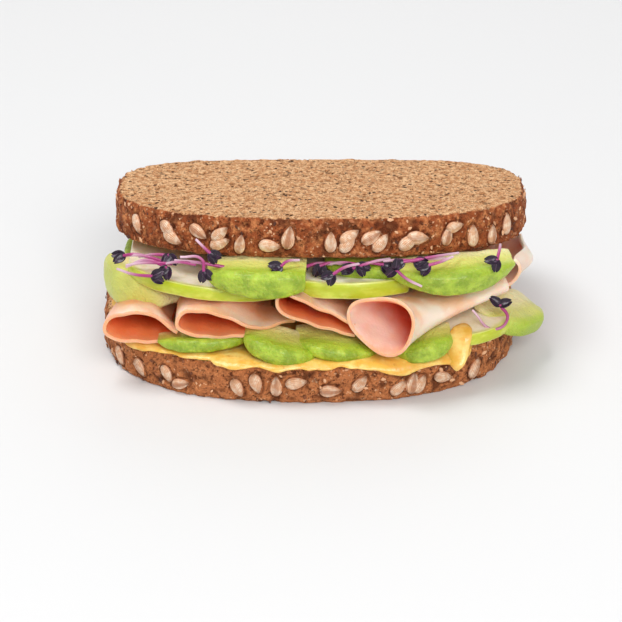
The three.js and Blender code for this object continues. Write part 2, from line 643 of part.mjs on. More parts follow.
/** The curled slice: flat under the filling, then a part circle up past its right end. */
function hamCurl() {
  const { start, floor, reach, radius, sweep, front, depth, flatColumns, arcColumns } = HAM_CURL;
  const flat = steps(flatColumns).map((k) => new THREE.Vector2(start + (reach * k) / flatColumns, floor));
  const arc = steps(arcColumns + 1).map((k) => {
    const angle = radians((sweep * k) / arcColumns);
    const rise = radius * (1 - Math.cos(angle));
    return new THREE.Vector2(start + reach + radius * Math.sin(angle), floor + rise);
  });
  const grid = steps(HAM_CURL.rows + 1).map((i) => {
    const v = i / HAM_CURL.rows;
    return [...flat, ...arc].map((point) => {
      const sway = HAM_CURL.sway * Math.sin(0.4 * point.y + 5 * v);
      const x = point.x + sway - HAM_CURL.narrowing * v;
      return new THREE.Vector3(x, front + depth * v, point.y + 0.4 * sway - HAM_CURL.sinking * v);
    });
  });
  return sheet(grid, HAM.thickness);
}

// ---- Avocado ----

/** One slice of avocado: a wedge with a round peeled side, thinning to both ends. */
function avocadoSlice({ length, height, depth, bend, cut, fullness = AVOCADO.fullness }) {
  const { stations, tip, bluntness, thinning } = AVOCADO;
  const loops = steps(stations + 1).map((i) => {
    const along = mix(cut[0], cut[1], i / stations);
    const t = Math.sin((along * Math.PI) / 2) * tip;
    const taper = (1 - Math.abs(t) ** fullness) ** bluntness;
    return AVOCADO_SECTION.map(([inward, up]) => {
      const y = depth * inward * mix(thinning, 1, taper) + bend * t * t;
      const z = (height / 2) * up * taper;
      const uneven = AVOCADO.uneven * ripple(t * length * 0.5 + height, y * 2, z * 2);
      return new THREE.Vector3((length / 2) * t, y + uneven, z + uneven);
    });
  });
  return loft(loops);
}

// ---- Apple ----

/** One round slice of apple, cut straight at its sides and back, with softened edges. */
function appleSlice({ radius, thickness, cut }) {
  const { segments, edge } = APPLE;
  const levels = [[edge, 0], [0, edge], [0, thickness - edge], [edge, thickness]];
  const loops = levels.map(([inset, z]) =>
    steps(segments).map((i) => {
      const angle = (2 * Math.PI * i) / segments;
      const reach = radius - inset;
      const [left, right, rear] = cut.map((share) => share * (radius - inset));
      const x = THREE.MathUtils.clamp(reach * Math.cos(angle), left, right);
      const y = Math.min(reach * Math.sin(angle), rear);
      return new THREE.Vector3(x, y, z);
    }),
  );
  return loft(loops);
}

// ---- Sprouts ----

/** One seed leaf: a thin cupped oval from a point in a direction, its face turned outward and up. */
function seedLeaf(root, direction) {
  const { leafLength, leafWidth, leafWidths, cup, droop, rootOverlap } = SPROUT;
  const along = new THREE.Vector3(...direction).normalize();
  const outward = new THREE.Vector3(0, root.y < 0 ? -0.8 : 0.8, 0.5);
  const across = new THREE.Vector3().crossVectors(along, outward).normalize();
  const face = new THREE.Vector3().crossVectors(across, along);
  const rows = leafWidths.map((width, i) =>
    [-1, 0, 1].map((side) => {
      const reach = (leafLength * i) / (leafWidths.length - 1) - rootOverlap;
      const point = root.clone().addScaledVector(along, reach);
      point.addScaledVector(across, (side * width * leafWidth) / 2);
      return point.addScaledVector(face, cup * Math.abs(side) * width - droop * i);
    }),
  );
  return sheet(rows, SPROUT.leafThickness);
}

/** One sprout: a tapered stem with its two seed leaves grown together with it. */
function sprout({ stem, leaves }) {
  const course = new THREE.CatmullRomCurve3(stem.map((point) => new THREE.Vector3(...point)));
  const stalk = rod(course, (t) => SPROUT.stemRadius * mix(0.9, 1.1, t), SPROUT.stemSides, stem.length);
  const tip = course.getPoint(1);
  return joined([stalk, ...leaves.map((direction) => seedLeaf(tip, direction))]);
}

// ---- The sandwich ----
const sandwich = new THREE.Group();

const lowerBread = piece("bread_bottom", seededSlice(LOWER_FRONT_KERNELS, 11, 1), "bread");
const upperBread = piece("bread_top", seededSlice(UPPER_FRONT_KERNELS, 47, LID.depthShare), "bread");
const lid = new THREE.Group();
lid.position.set(LID.x, LID.y, LID.z);
lid.rotation.x = -radians(LID.lean);
lid.add(upperBread);
const breads = [lowerBread, upperBread];

const folds = HAM_FOLDS.map((fold) => {
  const turn = [0, 0, fold.turn ?? 0];
  return piece(fold.name, hamFold(fold), "ham", fold.place, turn);
});
const hams = [piece("ham_4", hamRoll(), "ham"), ...folds, piece("ham_5", hamCurl(), "ham")];
const slicePieces = (slices, shape, finish) =>
  slices.map((slice) => piece(slice.name, shape(slice), finish, slice.place, slice.turn));
const apples = slicePieces(APPLES, appleSlice, "apple");
const avocados = slicePieces(AVOCADOS, avocadoSlice, "avocado");
const sauce = piece("sauce", sauceLayer(), "sauce");
const sprouts = SPROUTS.map((one) => piece(one.name, sprout(one), "cress"));

const placed = [...breads];
for (const mesh of [sauce, ...hams, ...apples, ...avocados, ...sprouts]) {
  fitRound(mesh, placed);
  placed.push(mesh);
}

sandwich.add(lowerBread, sauce, ...avocados, ...apples, ...hams, ...sprouts, lid);
sandwich.updateMatrixWorld(true);

export default sandwich;
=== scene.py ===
"""A ham sandwich on seeded wholegrain bread: its dressed pieces, the light and the camera.

Blender works in metres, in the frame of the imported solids. Sizes here are written in millimetres
and turned to metres by MM when a mesh is set. The front is -Y and the sandwich lies along X.
"""
import logging
import math
from dataclasses import dataclass, field
from enum import Enum
from typing import Callable

import bpy
import numpy as np
from mathutils import Euler, Matrix, Vector, noise
from mathutils.kdtree import KDTree


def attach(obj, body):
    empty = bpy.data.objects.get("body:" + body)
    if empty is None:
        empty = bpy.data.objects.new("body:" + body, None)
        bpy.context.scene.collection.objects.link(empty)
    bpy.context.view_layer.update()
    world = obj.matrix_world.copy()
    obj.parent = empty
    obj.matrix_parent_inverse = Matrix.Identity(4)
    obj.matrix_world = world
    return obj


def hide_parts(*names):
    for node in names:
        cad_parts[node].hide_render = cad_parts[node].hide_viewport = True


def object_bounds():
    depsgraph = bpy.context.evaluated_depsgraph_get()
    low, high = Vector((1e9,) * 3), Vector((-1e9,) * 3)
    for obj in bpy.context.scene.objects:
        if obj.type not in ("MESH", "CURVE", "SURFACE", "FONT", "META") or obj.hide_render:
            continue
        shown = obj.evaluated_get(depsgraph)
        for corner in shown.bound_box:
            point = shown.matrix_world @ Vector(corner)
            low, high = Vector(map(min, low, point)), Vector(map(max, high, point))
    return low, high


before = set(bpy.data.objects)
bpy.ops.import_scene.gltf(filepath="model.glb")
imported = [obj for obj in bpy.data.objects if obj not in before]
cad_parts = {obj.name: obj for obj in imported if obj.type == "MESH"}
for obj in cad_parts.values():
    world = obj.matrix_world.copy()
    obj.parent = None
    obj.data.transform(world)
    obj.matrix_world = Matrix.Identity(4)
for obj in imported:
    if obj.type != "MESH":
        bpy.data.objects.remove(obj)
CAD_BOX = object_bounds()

MM = 0.001
BODY = "root"
GOLDEN = 0.618  # spreads repeated sizes and shades evenly between 0 and 1
log = logging.getLogger("sandwich")

Point = tuple[float, float, float]


class Slot(Enum):
    """The material slots, one for each kind of food."""

    BREAD = "bread"
    SAUCE = "sauce"
    HAM = "ham"
    AVOCADO = "avocado"
    APPLE = "apple"
    SPROUT = "cress"


# ---- Numbers ----


def smooth(t: np.ndarray | float) -> np.ndarray:
    """Eases from 0 at 0 to 1 at 1, flat at both ends."""
    t = np.clip(t, 0.0, 1.0)
    return t * t * (3.0 - 2.0 * t)


def mix(a: np.ndarray | float, b: np.ndarray | float, t: np.ndarray | float) -> np.ndarray:
    """Goes from a at t = 0 to b at t = 1."""
    return a + (b - a) * t


def bump(distance: np.ndarray, width: float) -> np.ndarray:
    """A bell curve of height 1 at distance 0."""
    return np.exp(-((distance / width) ** 2))


def linear(colour: str) -> tuple[float, float, float, float]:
    """Turns an sRGB hex colour into linear red, green, blue and alpha.

    Args:
        colour: Such as "#FFFFFF".

    Returns:
        The four values, from 0 to 1.
    """
    channels = [int(colour[i : i + 2], 16) / 255 for i in (1, 3, 5)]
    curve = [c / 12.92 if c <= 0.04045 else ((c + 0.055) / 1.055) ** 2.4 for c in channels]
    return (*curve, 1.0)


def lumps(points: np.ndarray, size: float, seed: float = 0.0) -> np.ndarray:
    """Smooth noise at each point.

    Args:
        points: Places in mm, one row each.
        size: Distance between lumps in mm.
        seed: Picks another pattern.

    Returns:
        One value between about -1 and 1 for each point.
    """
    shift = Vector((seed, 1.7 * seed, 2.3 * seed))
    return np.array([noise.noise(Vector(point) / size + shift) for point in points])


def pits(points: np.ndarray, size: float, seed: float = 0.0) -> np.ndarray:
    """Rounded pits of uneven width, one in each cell of a Voronoi pattern.

    Args:
        points: Places in mm, one row each.
        size: Distance between pits in mm.
        seed: Picks another pattern.

    Returns:
        1 in the middle of a wide pit, 0 between pits.
    """
    shift = Vector((seed, 0.3 * seed, 2.1 * seed))
    depths = np.zeros(len(points))
    for i, point in enumerate(points):
        distances, centres = noise.voronoi(Vector(point) / size + shift)
        width = 0.42 * max(0.0, 0.5 + 1.1 * noise.noise(centres[0] * 3.7))
        if width > 0.05:
            depths[i] = max(0.0, 1.0 - (distances[0] / width) ** 2)
    return depths


class Draw:
    """The same seeded random numbers as the solids use, so that both hold the same kernels."""

    FACTOR, STEP, RANGE = 1664525, 1013904223, 2**32

    def __init__(self, seed: int) -> None:
        """Starts from a seed."""
        self.state = seed

    def __call__(self) -> float:
        """Returns the next number between 0 and 1."""
        self.state = (self.state * self.FACTOR + self.STEP) % self.RANGE
        return self.state / self.RANGE


# ---- Meshes ----

Place = Callable[[np.ndarray, np.ndarray], np.ndarray]  # two shares from 0 to 1 in, points in mm out


def deselect() -> None:
    """Clears the selection, so that an operator acts only on what it is given."""
    bpy.ops.object.select_all(action="DESELECT")


def choose(piece: bpy.types.Object) -> None:
    """Makes one object the only selected and the active one.

    Args:
        piece: The object that the next operator acts on.
    """
    deselect()
    piece.select_set(True)
    bpy.context.view_layer.objects.active = piece


def corners(piece: bpy.types.Object) -> np.ndarray:
    """Returns the mesh's vertices in the mesh's own units, one row each.

    Args:
        piece: The mesh.

    Returns:
        The places in metres.
    """
    flat = np.zeros(len(piece.data.vertices) * 3)
    piece.data.vertices.foreach_get("co", flat)
    return flat.reshape(-1, 3)


def facing(piece: bpy.types.Object) -> np.ndarray:
    """Returns the mesh's vertex normals, one row each.

    Args:
        piece: The mesh.

    Returns:
        The directions, each of length 1.
    """
    flat = np.zeros(len(piece.data.vertices) * 3)
    piece.data.vertex_normals.foreach_get("vector", flat)
    return flat.reshape(-1, 3)


def set_corners(piece: bpy.types.Object, points: np.ndarray) -> None:
    """Moves the mesh's vertices to points given in mm."""
    piece.data.vertices.foreach_set("co", (points * MM).ravel())
    piece.data.update()


def merge(piece: bpy.types.Object, face_outwards: bool = False) -> None:
    """Merges doubled vertices, as along the seam of a tube.

    Args:
        piece: The mesh.
        face_outwards: Whether the faces of a closed shell are turned outwards as well.
    """
    choose(piece)
    bpy.ops.object.mode_set(mode="EDIT")
    bpy.ops.mesh.select_all(action="SELECT")
    bpy.ops.mesh.remove_doubles(threshold=1e-6)
    if face_outwards:
        bpy.ops.mesh.normals_make_consistent(inside=False)
    bpy.ops.object.mode_set(mode="OBJECT")


def modify(piece: bpy.types.Object, kind: str, **settings: object) -> None:
    """Adds one modifier with its settings and applies it.

    Args:
        piece: The mesh.
        kind: The modifier's type.
        **settings: The modifier's properties.
    """
    choose(piece)
    modifier = piece.modifiers.new(kind.title(), kind)
    for name, value in settings.items():
        setattr(modifier, name, value)
    bpy.ops.object.modifier_apply(modifier=modifier.name)


def loft(name: str, segments: int, rings: int, place: Place) -> bpy.types.Object:
    """Shapes a sphere's rings into a closed solid.

    Args:
        name: The piece's name.
        segments: Vertices round each ring.
        rings: Number of rings between the two end caps.
        place: Gives points in mm for shares along the rings and round each ring.

    Returns:
        The new piece. Each cap's middle is the mean of the ring next to it.
    """
    deselect()
    bpy.ops.mesh.primitive_uv_sphere_add(segments=segments, ring_count=rings + 1, radius=1)
    piece = bpy.context.active_object
    piece.name = name
    unit = corners(piece)
    ring = np.rint(np.arccos(np.clip(unit[:, 2], -1, 1)) / math.pi * (rings + 1)).astype(int)
    spoke = np.rint(np.arctan2(unit[:, 1], unit[:, 0]) / (2 * math.pi) * segments) % segments
    points = place(np.clip((ring - 1) / (rings - 1), 0, 1), spoke / segments)
    points[ring == 0] = points[ring == 1].mean(axis=0)
    points[ring == rings + 1] = points[ring == rings].mean(axis=0)
    set_corners(piece, points)
    merge(piece, face_outwards=True)
    return piece


def drape(name: str, columns: int, rows: int, place: Place) -> bpy.types.Object:
    """Shapes a flat grid with a UV map into a sheet.

    Args:
        name: The piece's name.
        columns: Faces across the sheet.
        rows: Faces along it.
        place: Gives points in mm for shares across and along the sheet.

    Returns:
        The new piece.
    """
    deselect()
    bpy.ops.mesh.primitive_grid_add(x_subdivisions=columns, y_subdivisions=rows, size=1, calc_uvs=True)
    piece = bpy.context.active_object
    piece.name = name
    unit = corners(piece)
    set_corners(piece, place(unit[:, 0] + 0.5, unit[:, 1] + 0.5))
    return piece


def record_values(piece: bpy.types.Object, name: str, values: np.ndarray) -> None:
    """Stores one number for each vertex, for a material to read."""
    layer = piece.data.attributes.get(name) or piece.data.attributes.new(name, "FLOAT", "POINT")
    layer.data.foreach_set("value", np.asarray(values, dtype=np.float32))


def move_mesh(piece: bpy.types.Object, spot: Matrix) -> None:
    """Moves a mesh whose object stays at the origin. The matrix's shift is in mm.

    Args:
        piece: The mesh.
        spot: Where it goes.
    """
    spot = spot.copy()
    spot.translation *= MM
    piece.data.transform(spot)
    piece.data.update()


def placement(place: Point, turn: Point = (0, 0, 0)) -> Matrix:
    """Returns the matrix for a place in mm and turns in degrees, X turned first inside Y and Z.

    Args:
        place: The place in mm.
        turn: The turns about X, Y and Z in degrees.

    Returns:
        The matrix, its shift in mm.
    """
    x, y, z = (math.radians(angle) for angle in turn)
    turned = Matrix.Rotation(x, 4, "X") @ Matrix.Rotation(y, 4, "Y") @ Matrix.Rotation(z, 4, "Z")
    return Matrix.Translation(place) @ turned


def join(pieces: list[bpy.types.Object], name: str) -> bpy.types.Object:
    """Joins several pieces into one with a new name.

    Args:
        pieces: The meshes to join.
        name: The name of the result.

    Returns:
        The joined piece.
    """
    deselect()
    for piece in pieces:
        piece.select_set(True)
    bpy.context.view_layer.objects.active = pieces[0]
    bpy.ops.object.join()
    pieces[0].name = name
    return pieces[0]


def scatter(
    model: bpy.types.Object, spots: list[Matrix], toasts: list[float], name: str
) -> bpy.types.Object:
    """Copies a model to several places and joins the copies into one piece.

    Args:
        model: The mesh to copy. It is removed.
        spots: Each copy's place, its shift in mm.
        toasts: How brown each copy is, from 0 to 1.
        name: The piece's name.

    Returns:
        The new piece.
    """
    copies = []
    for spot, toast in zip(spots, toasts):
        copy = model.copy()
        copy.data = model.data.copy()
        bpy.context.collection.objects.link(copy)
        record_values(copy, "toast", np.full(len(copy.data.vertices), toast))
        move_mesh(copy, spot)
        copies.append(copy)
    bpy.data.objects.remove(model)
    return join(copies, name)


def finish_piece(
    piece: bpy.types.Object,
    material: bpy.types.Material,
    nodes: tuple[str, ...] = (),
    crease: float = 50.0,
) -> None:
    """Keeps a piece inside the solids' box, gives it its material and hangs it on the frame.

    Args:
        piece: The finished mesh at the origin.
        material: Its material.
        nodes: The CAD nodes that it stands for.
        crease: Faces that meet at a larger angle, in degrees, keep a sharp edge.
    """
    set_corners(piece, np.clip(corners(piece), *CAD_BOX) / MM)
    choose(piece)
    piece.data.materials.clear()
    piece.data.materials.append(material)
    bpy.ops.object.shade_smooth_by_angle(angle=math.radians(crease))
    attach(piece, BODY)
    if nodes:
        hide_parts(*nodes)
    log.info("%s: %d faces, stands for %s", piece.name, len(piece.data.polygons), nodes or "no node")


# ---- Materials ----


def add_node(
    tree: bpy.types.NodeTree,
    kind: str,
    inputs: dict[str | int, object] | None = None,
    **settings: object,
) -> bpy.types.Node:
    """Adds one node with its settings, values and links.

    Args:
        tree: The material's node tree.
        kind: The node's type.
        inputs: A value, a hex colour or an output socket for each input, by name or number.
        **settings: The node's own properties.

    Returns:
        The new node.
    """
    made = tree.nodes.new(kind)
    for name, value in settings.items():
        setattr(made, name, value)
    for name, value in (inputs or {}).items():
        socket = made.inputs[name]
        if isinstance(value, bpy.types.NodeSocket):
            tree.links.new(value, socket)
        else:
            socket.default_value = linear(value) if isinstance(value, str) else value
    return made


class Step(Enum):
    """The steps of a material: a node, its inputs in the order they are given, its output, its settings."""

    STORED = ("ShaderNodeAttribute", (), "Fac", {})
    SINE = ("ShaderNodeMath", (0,), 0, {"operation": "SINE"})
    TIMES = ("ShaderNodeMath", (0, 1), 0, {"operation": "MULTIPLY"})
    TIMES_PLUS = ("ShaderNodeMath", (0, 1, 2), 0, {"operation": "MULTIPLY_ADD"})
    HIGHER = ("ShaderNodeMath", (0, 1), 0, {"operation": "MAXIMUM"})
    EASE = (
        "ShaderNodeMapRange", ("Value", "From Min", "From Max", "To Min", "To Max"), "Result",
        {"interpolation_type": "SMOOTHSTEP"},
    )
    BLEND = ("ShaderNodeMix", ("Factor", 6, 7), 2, {"data_type": "RGBA"})
    STRETCH = ("ShaderNodeMapping", ("Vector", "Scale"), "Vector", {})
    SHIFT = ("ShaderNodeVectorMath", (0, 1, 2), "Vector", {"operation": "MULTIPLY_ADD"})
    NOISE = ("ShaderNodeTexNoise", ("Vector", "Scale", "Detail", "Roughness"), "Fac", {})
    WARP = ("ShaderNodeTexNoise", ("Vector", "Scale", "Detail"), "Color", {})
    CELLS = ("ShaderNodeTexVoronoi", ("Vector", "Scale"), "Distance", {})
    RAISE = ("ShaderNodeBump", ("Height", "Distance", "Strength"), "Normal", {})


Socket = bpy.types.NodeSocket


class Recipe:
    """A material being made: its tree, its shader and the patterns that its finish mixes."""

    def __init__(self, name: str, roughness: float, **shader: float) -> None:
        """Starts a material.

        Args:
            name: The real substance and how it was made.
            roughness: The shader's roughness.
            **shader: Further shader values, with underscores for spaces.
        """
        self.material = bpy.data.materials.new(name)
        self.material.use_nodes = True
        self.tree = self.material.node_tree
        self.shader = self.tree.nodes["Principled BSDF"]
        self.shader.inputs["Roughness"].default_value = roughness
        for key, value in shader.items():
            self.shader.inputs[key.replace("_", " ")].default_value = value
        self.spots = add_node(self.tree, "ShaderNodeTexCoord").outputs["Object"]

    def add(self, step: Step, *values: object, **settings: object) -> Socket:
        """Adds one step.

        Args:
            step: The kind of step.
            *values: Its inputs in order. Those left out keep the node's own values.
            **settings: Further properties of the node.

        Returns:
            What comes out of it.
        """
        kind, inputs, output, fixed = step.value
        return add_node(self.tree, kind, dict(zip(inputs, values)), **fixed, **settings).outputs[output]

    def grain(self, size: float, detail: float = 2.0, stretch: Point = (1, 1, 1)) -> Socket:
        """Returns noise.

        Args:
            size: Distance between lumps in mm.
            detail: How many finer layers lie on the lumps.
            stretch: How much closer they lie along each axis.

        Returns:
            The noise, from 0 to 1 and mostly near 0.5.
        """
        spots = self.spots if stretch == (1, 1, 1) else self.add(Step.STRETCH, self.spots, stretch)
        return self.add(Step.NOISE, spots, 1 / (size * MM), detail, 0.6)

    def cells(self, size: float, uneven: float, stretch: Point = (1, 1, 1)) -> Socket:
        """Returns the distance from the middles of uneven cells.

        Args:
            size: Distance between cells in mm.
            uneven: How far they are shifted, as a share of their size.
            stretch: How much closer they lie along each axis.

        Returns:
            The distance as a share of the size.
        """
        warp = self.add(Step.WARP, self.spots, 1 / (0.9 * size * MM), 1.0)
        spots = self.add(Step.SHIFT, warp, (uneven * size * MM,) * 3, self.spots)
        if stretch != (1, 1, 1):
            spots = self.add(Step.STRETCH, spots, stretch)
        return self.add(Step.CELLS, spots, 1 / (size * MM))

    def cover(
        self,
        under: str | Socket,
        over: str | Socket,
        where: Socket,
        span: tuple[float, float] | None = None,
        most: float = 1.0,
    ) -> Socket:
        """Covers a colour with another one.

        Args:
            under: The lower colour.
            over: The colour that covers it.
            where: A pattern: 0 leaves the lower colour bare and 1 hides it.
            span: The pattern's values at which the cover begins and is full, in place of 0 and 1.
            most: How much of the lower colour a full cover hides.

        Returns:
            The mixed colour.
        """
        share = self.add(Step.EASE, where, *span, 0.0, most) if span else where
        return self.add(Step.BLEND, share, under, over)

    def finish(
        self, colour: str | Socket, height: Socket | None = None, depth: float = 0.0
    ) -> bpy.types.Material:
        """Gives the shader its colour and its relief.

        Args:
            colour: The surface's colour.
            height: The pattern that raises it, if any.
            depth: The relief's full height in mm.

        Returns:
            The finished material.
        """
        if isinstance(colour, str):
            self.shader.inputs["Base Color"].default_value = linear(colour)
        else:
            self.tree.links.new(colour, self.shader.inputs["Base Color"])
        if height is not None:
            self.tree.links.new(self.add(Step.RAISE, height, depth * MM, 1.0), self.shader.inputs["Normal"])
        return self.material


@dataclass(frozen=True)
class Wholegrain:
    """Baked wholegrain bread: an open, speckled crumb inside a rough browned crust."""

    crumb: str = "#D29563"
    crumb_pale: str = "#F8C896"
    crumb_deep: str = "#8A5028"
    # Painted shade: the colour that the pores are painted, as shade inside the crumb's pits.
    pore_shade: str = "#3F1C09"
    crust: str = "#A0522A"
    crust_pale: str = "#D88A55"
    crust_dark: str = "#56260E"
    fleck: str = "#F2BF94"

    def material(self) -> bpy.types.Material:
        """Makes the material. The mesh stores how deep each point lies inside the crust.

        Returns:
            The finished material.
        """
        # Flour and bran dull the bread all over, so it has almost no shine.
        made = Recipe("Wholegrain bread, baked", 0.85, Specular_IOR_Level=0.25)
        deep = made.add(Step.STORED, attribute_name="depth")
        mottle = made.grain(1.5, 5.0, (1, 0.6, 1))
        fine = made.grain(0.6, 3.0, (1, 0.6, 1))
        pores = made.add(Step.EASE, made.cells(1.9, 0.8, (1, 0.55, 1)), 0.36, 0.2)
        pores = made.add(Step.TIMES, pores, made.add(Step.EASE, made.grain(3.4, 1.0), 0.46, 0.6))
        pores = made.add(Step.HIGHER, pores, made.add(Step.STORED, attribute_name="pore_shade"))
        crumb = made.cover(self.crumb, self.crumb_pale, mottle, (0.4, 0.6))
        crumb = made.cover(crumb, self.crumb_deep, fine, (0.51, 0.64), 0.8)
        # Painted shade: the pores, sunk in the mesh and in the relief, are also painted dark.
        crumb = made.cover(crumb, self.pore_shade, made.add(Step.TIMES, pores, 0.95))

        crust = made.cover(self.crust, self.crust_pale, made.grain(2.4, 5.0), (0.44, 0.68))
        # Painted light: each slice's crust pales by its own share, so that the lower slice reads as better
        # lit than the lid.
        crust = made.cover(crust, self.crust_pale, made.add(Step.STORED, attribute_name="painted_crust_light"))
        crust = made.cover(crust, self.crust_dark, made.grain(2.0, 5.0), (0.45, 0.33), 0.9)
        crust = made.cover(crust, self.crust_dark, made.grain(0.8, 3.0), (0.47, 0.36), 0.55)
        flecks = made.add(Step.EASE, made.cells(1.5, 0.9), 0.3, 0.16)
        flecks = made.add(Step.TIMES, flecks, made.add(Step.EASE, made.grain(3.0, 1.0), 0.46, 0.56))
        crust = made.cover(crust, self.fleck, made.add(Step.TIMES, flecks, 0.75))
        shade = made.add(Step.STORED, attribute_name="shade")
        crust = made.cover(crust, self.crust_dark, made.add(Step.TIMES, shade, 0.8))

        ragged = made.add(Step.TIMES_PLUS, made.grain(1.6, 3.0), 1.6, deep)
        height = made.add(Step.TIMES_PLUS, pores, -1.3, made.add(Step.TIMES, mottle, 1.6))
        height = made.add(Step.TIMES_PLUS, fine, 0.7, height)
        return made.finish(made.cover(crust, crumb, ragged, (1.3, 2.3)), height, 1.0)


@dataclass(frozen=True)
class Kernel:
    """Hulled sunflower kernels, toasted in the oven: pale, matt, faintly streaked lengthwise."""

    body: str = "#EDB78E"
    pale: str = "#FFE3C6"
    toasted: str = "#A9623A"

    def material(self) -> bpy.types.Material:
        """Makes the material. The mesh stores a share along each kernel and one across it.

        Returns:
            The finished material.
        """
        # Dry heat browns a kernel first at its rim and tip, and dulls its oily shine.
        made = Recipe("Sunflower kernel, toasted", 0.55)
        across = made.add(Step.STORED, attribute_name="across")
        rim = made.add(Step.STORED, attribute_name="rim")
        along = made.add(Step.STORED, attribute_name="along")
        browned = made.add(Step.STORED, attribute_name="toast")
        streak = made.add(Step.SINE, made.add(Step.TIMES, across, 26.0))
        body = made.cover(self.body, self.pale, made.grain(1.6, 3.0), (0.4, 0.66))
        body = made.cover(body, self.toasted, streak, (0.2, 1.0), 0.35)
        edge = made.add(Step.TIMES, made.add(Step.EASE, rim, 0.86, 1.0), 0.85)
        tip = made.add(Step.TIMES, made.add(Step.EASE, along, 0.8, 1.0), 0.7)
        middle = made.add(Step.EASE, rim, 0.62, 0.2)
        middle = made.add(Step.TIMES, middle, made.add(Step.EASE, browned, 0.35, 0.9))
        middle = made.add(Step.TIMES, middle, 0.7)
        toast = made.add(Step.HIGHER, made.add(Step.HIGHER, edge, tip), middle)
        height = made.add(Step.TIMES_PLUS, streak, 0.3, made.grain(0.9, 3.0))
        return made.finish(made.cover(body, self.toasted, toast), height, 0.3)


@dataclass(frozen=True)
class Bran:
    """Flakes of bran and coarse crumb in the crust: some pale, some scorched."""

    pale: str = "#E2AE84"
    brown: str = "#A8653C"
    scorched: str = "#4E2410"

    def material(self) -> bpy.types.Material:
        """Makes the material. The mesh stores how brown each flake is.

        Returns:
            The finished material.
        """
        # Each flake is too small for a pattern of its own, and reads as one matt speck.
        made = Recipe("Bran flake, baked", 0.7)
        toast = made.add(Step.STORED, attribute_name="toast")
        tone = made.cover(self.pale, self.brown, toast, (0.2, 0.5))
        return made.finish(made.cover(tone, self.scorched, toast, (0.6, 0.9)))


@dataclass(frozen=True)
class Mustard:
    """Smooth mustard sauce, spread with a knife: wet, opaque and yellow."""

    body: str = "#EDB54C"
    pale: str = "#FAD57E"
    deep: str = "#CC8D34"

    def material(self) -> bpy.types.Material:
        """Makes the material.

        Returns:
            The finished material.
        """
        # The wet surface gives soft highlights, and the knife leaves faint swirls of paler sauce.
        made = Recipe("Mustard sauce, spread", 0.28, Subsurface_Weight=0.2, Subsurface_Scale=0.0015)
        tone = made.cover(self.body, self.pale, made.grain(5.0, 3.0), (0.38, 0.68))
        tone = made.cover(tone, self.deep, made.grain(2.4, 3.0), (0.6, 0.8))
        return made.finish(tone, made.grain(2.2, 3.0, (1.0, 0.5, 1.0)), 0.25)


@dataclass(frozen=True)
class CookedHam:
    """Cooked ham, sliced thin: moist and pale; inside a fold it is painted orange light that turns to
    painted shade deeper in.
    """

    outside: str = "#FFE4D3"
    outside_warm: str = "#F8BC98"
    # Painted light: the two inner colours below are orange light scattered through the meat near a fold's
    # lip, then painted shade deeper in.
    inside: str = "#FF9A60"
    painted_deep_shade: str = "#EC5824"
    edge: str = "#F2AE80"
    fat: str = "#FFF2E8"
    # Painted shade: the outside's colour where the filling above shades it.
    shaded: str = "#D9834A"
    bleeding: Point = (1.0, 0.35, 0.15)

    def material(self) -> bpy.types.Material:
        """Makes the material. The mesh stores the side that a point lies on and its way from the lip.

        Returns:
            The finished material.
        """
        # Light passes a little way into moist meat and comes out redder, so edges look warm; the orange
        # inside a fold is painted light on top of that.
        made = Recipe("Cooked ham, sliced", 0.36, Subsurface_Weight=0.45, Subsurface_Scale=0.0025)
        made.shader.inputs["Subsurface Radius"].default_value = self.bleeding
        lip = made.add(Step.STORED, attribute_name="from_lip")
        inner = made.add(Step.STORED, attribute_name="inner")
        painted_outer_shade = made.add(Step.STORED, attribute_name="painted_outer_shade")
        deep = made.add(Step.STORED, attribute_name="deep")
        outside = made.cover(self.outside, self.outside_warm, made.grain(14.0, 2.0), (0.35, 0.7))
        outside = made.cover(outside, self.fat, made.grain(1.8, 4.0, (1, 0.4, 1)), (0.52, 0.8), 0.5)
        # Painted shade: the outside is painted darker orange further behind the lip, under the filling.
        outside = made.cover(outside, self.shaded, painted_outer_shade)
        # Painted shade: the inner side darkens to deep red further from the lip, where the fold is in
        # shade; its orange is painted light.
        inside = made.cover(self.inside, self.painted_deep_shade, deep)
        inside = made.cover(inside, self.outside_warm, made.grain(5.0, 3.0), (0.5, 0.72), 0.25)
        inside = made.cover(inside, self.edge, lip, (4.5, 0.5), 0.6)
        border = made.add(Step.TIMES_PLUS, made.grain(4.0, 2.0), 1.6, lip)
        tone = made.cover(made.cover(outside, inside, inner), self.edge, border, (1.5, 0.7), 0.8)
        fibres = made.add(Step.TIMES_PLUS, made.grain(0.8, 3.0), 0.4, made.grain(3.0, 2.0))
        return made.finish(tone, fibres, 0.22)


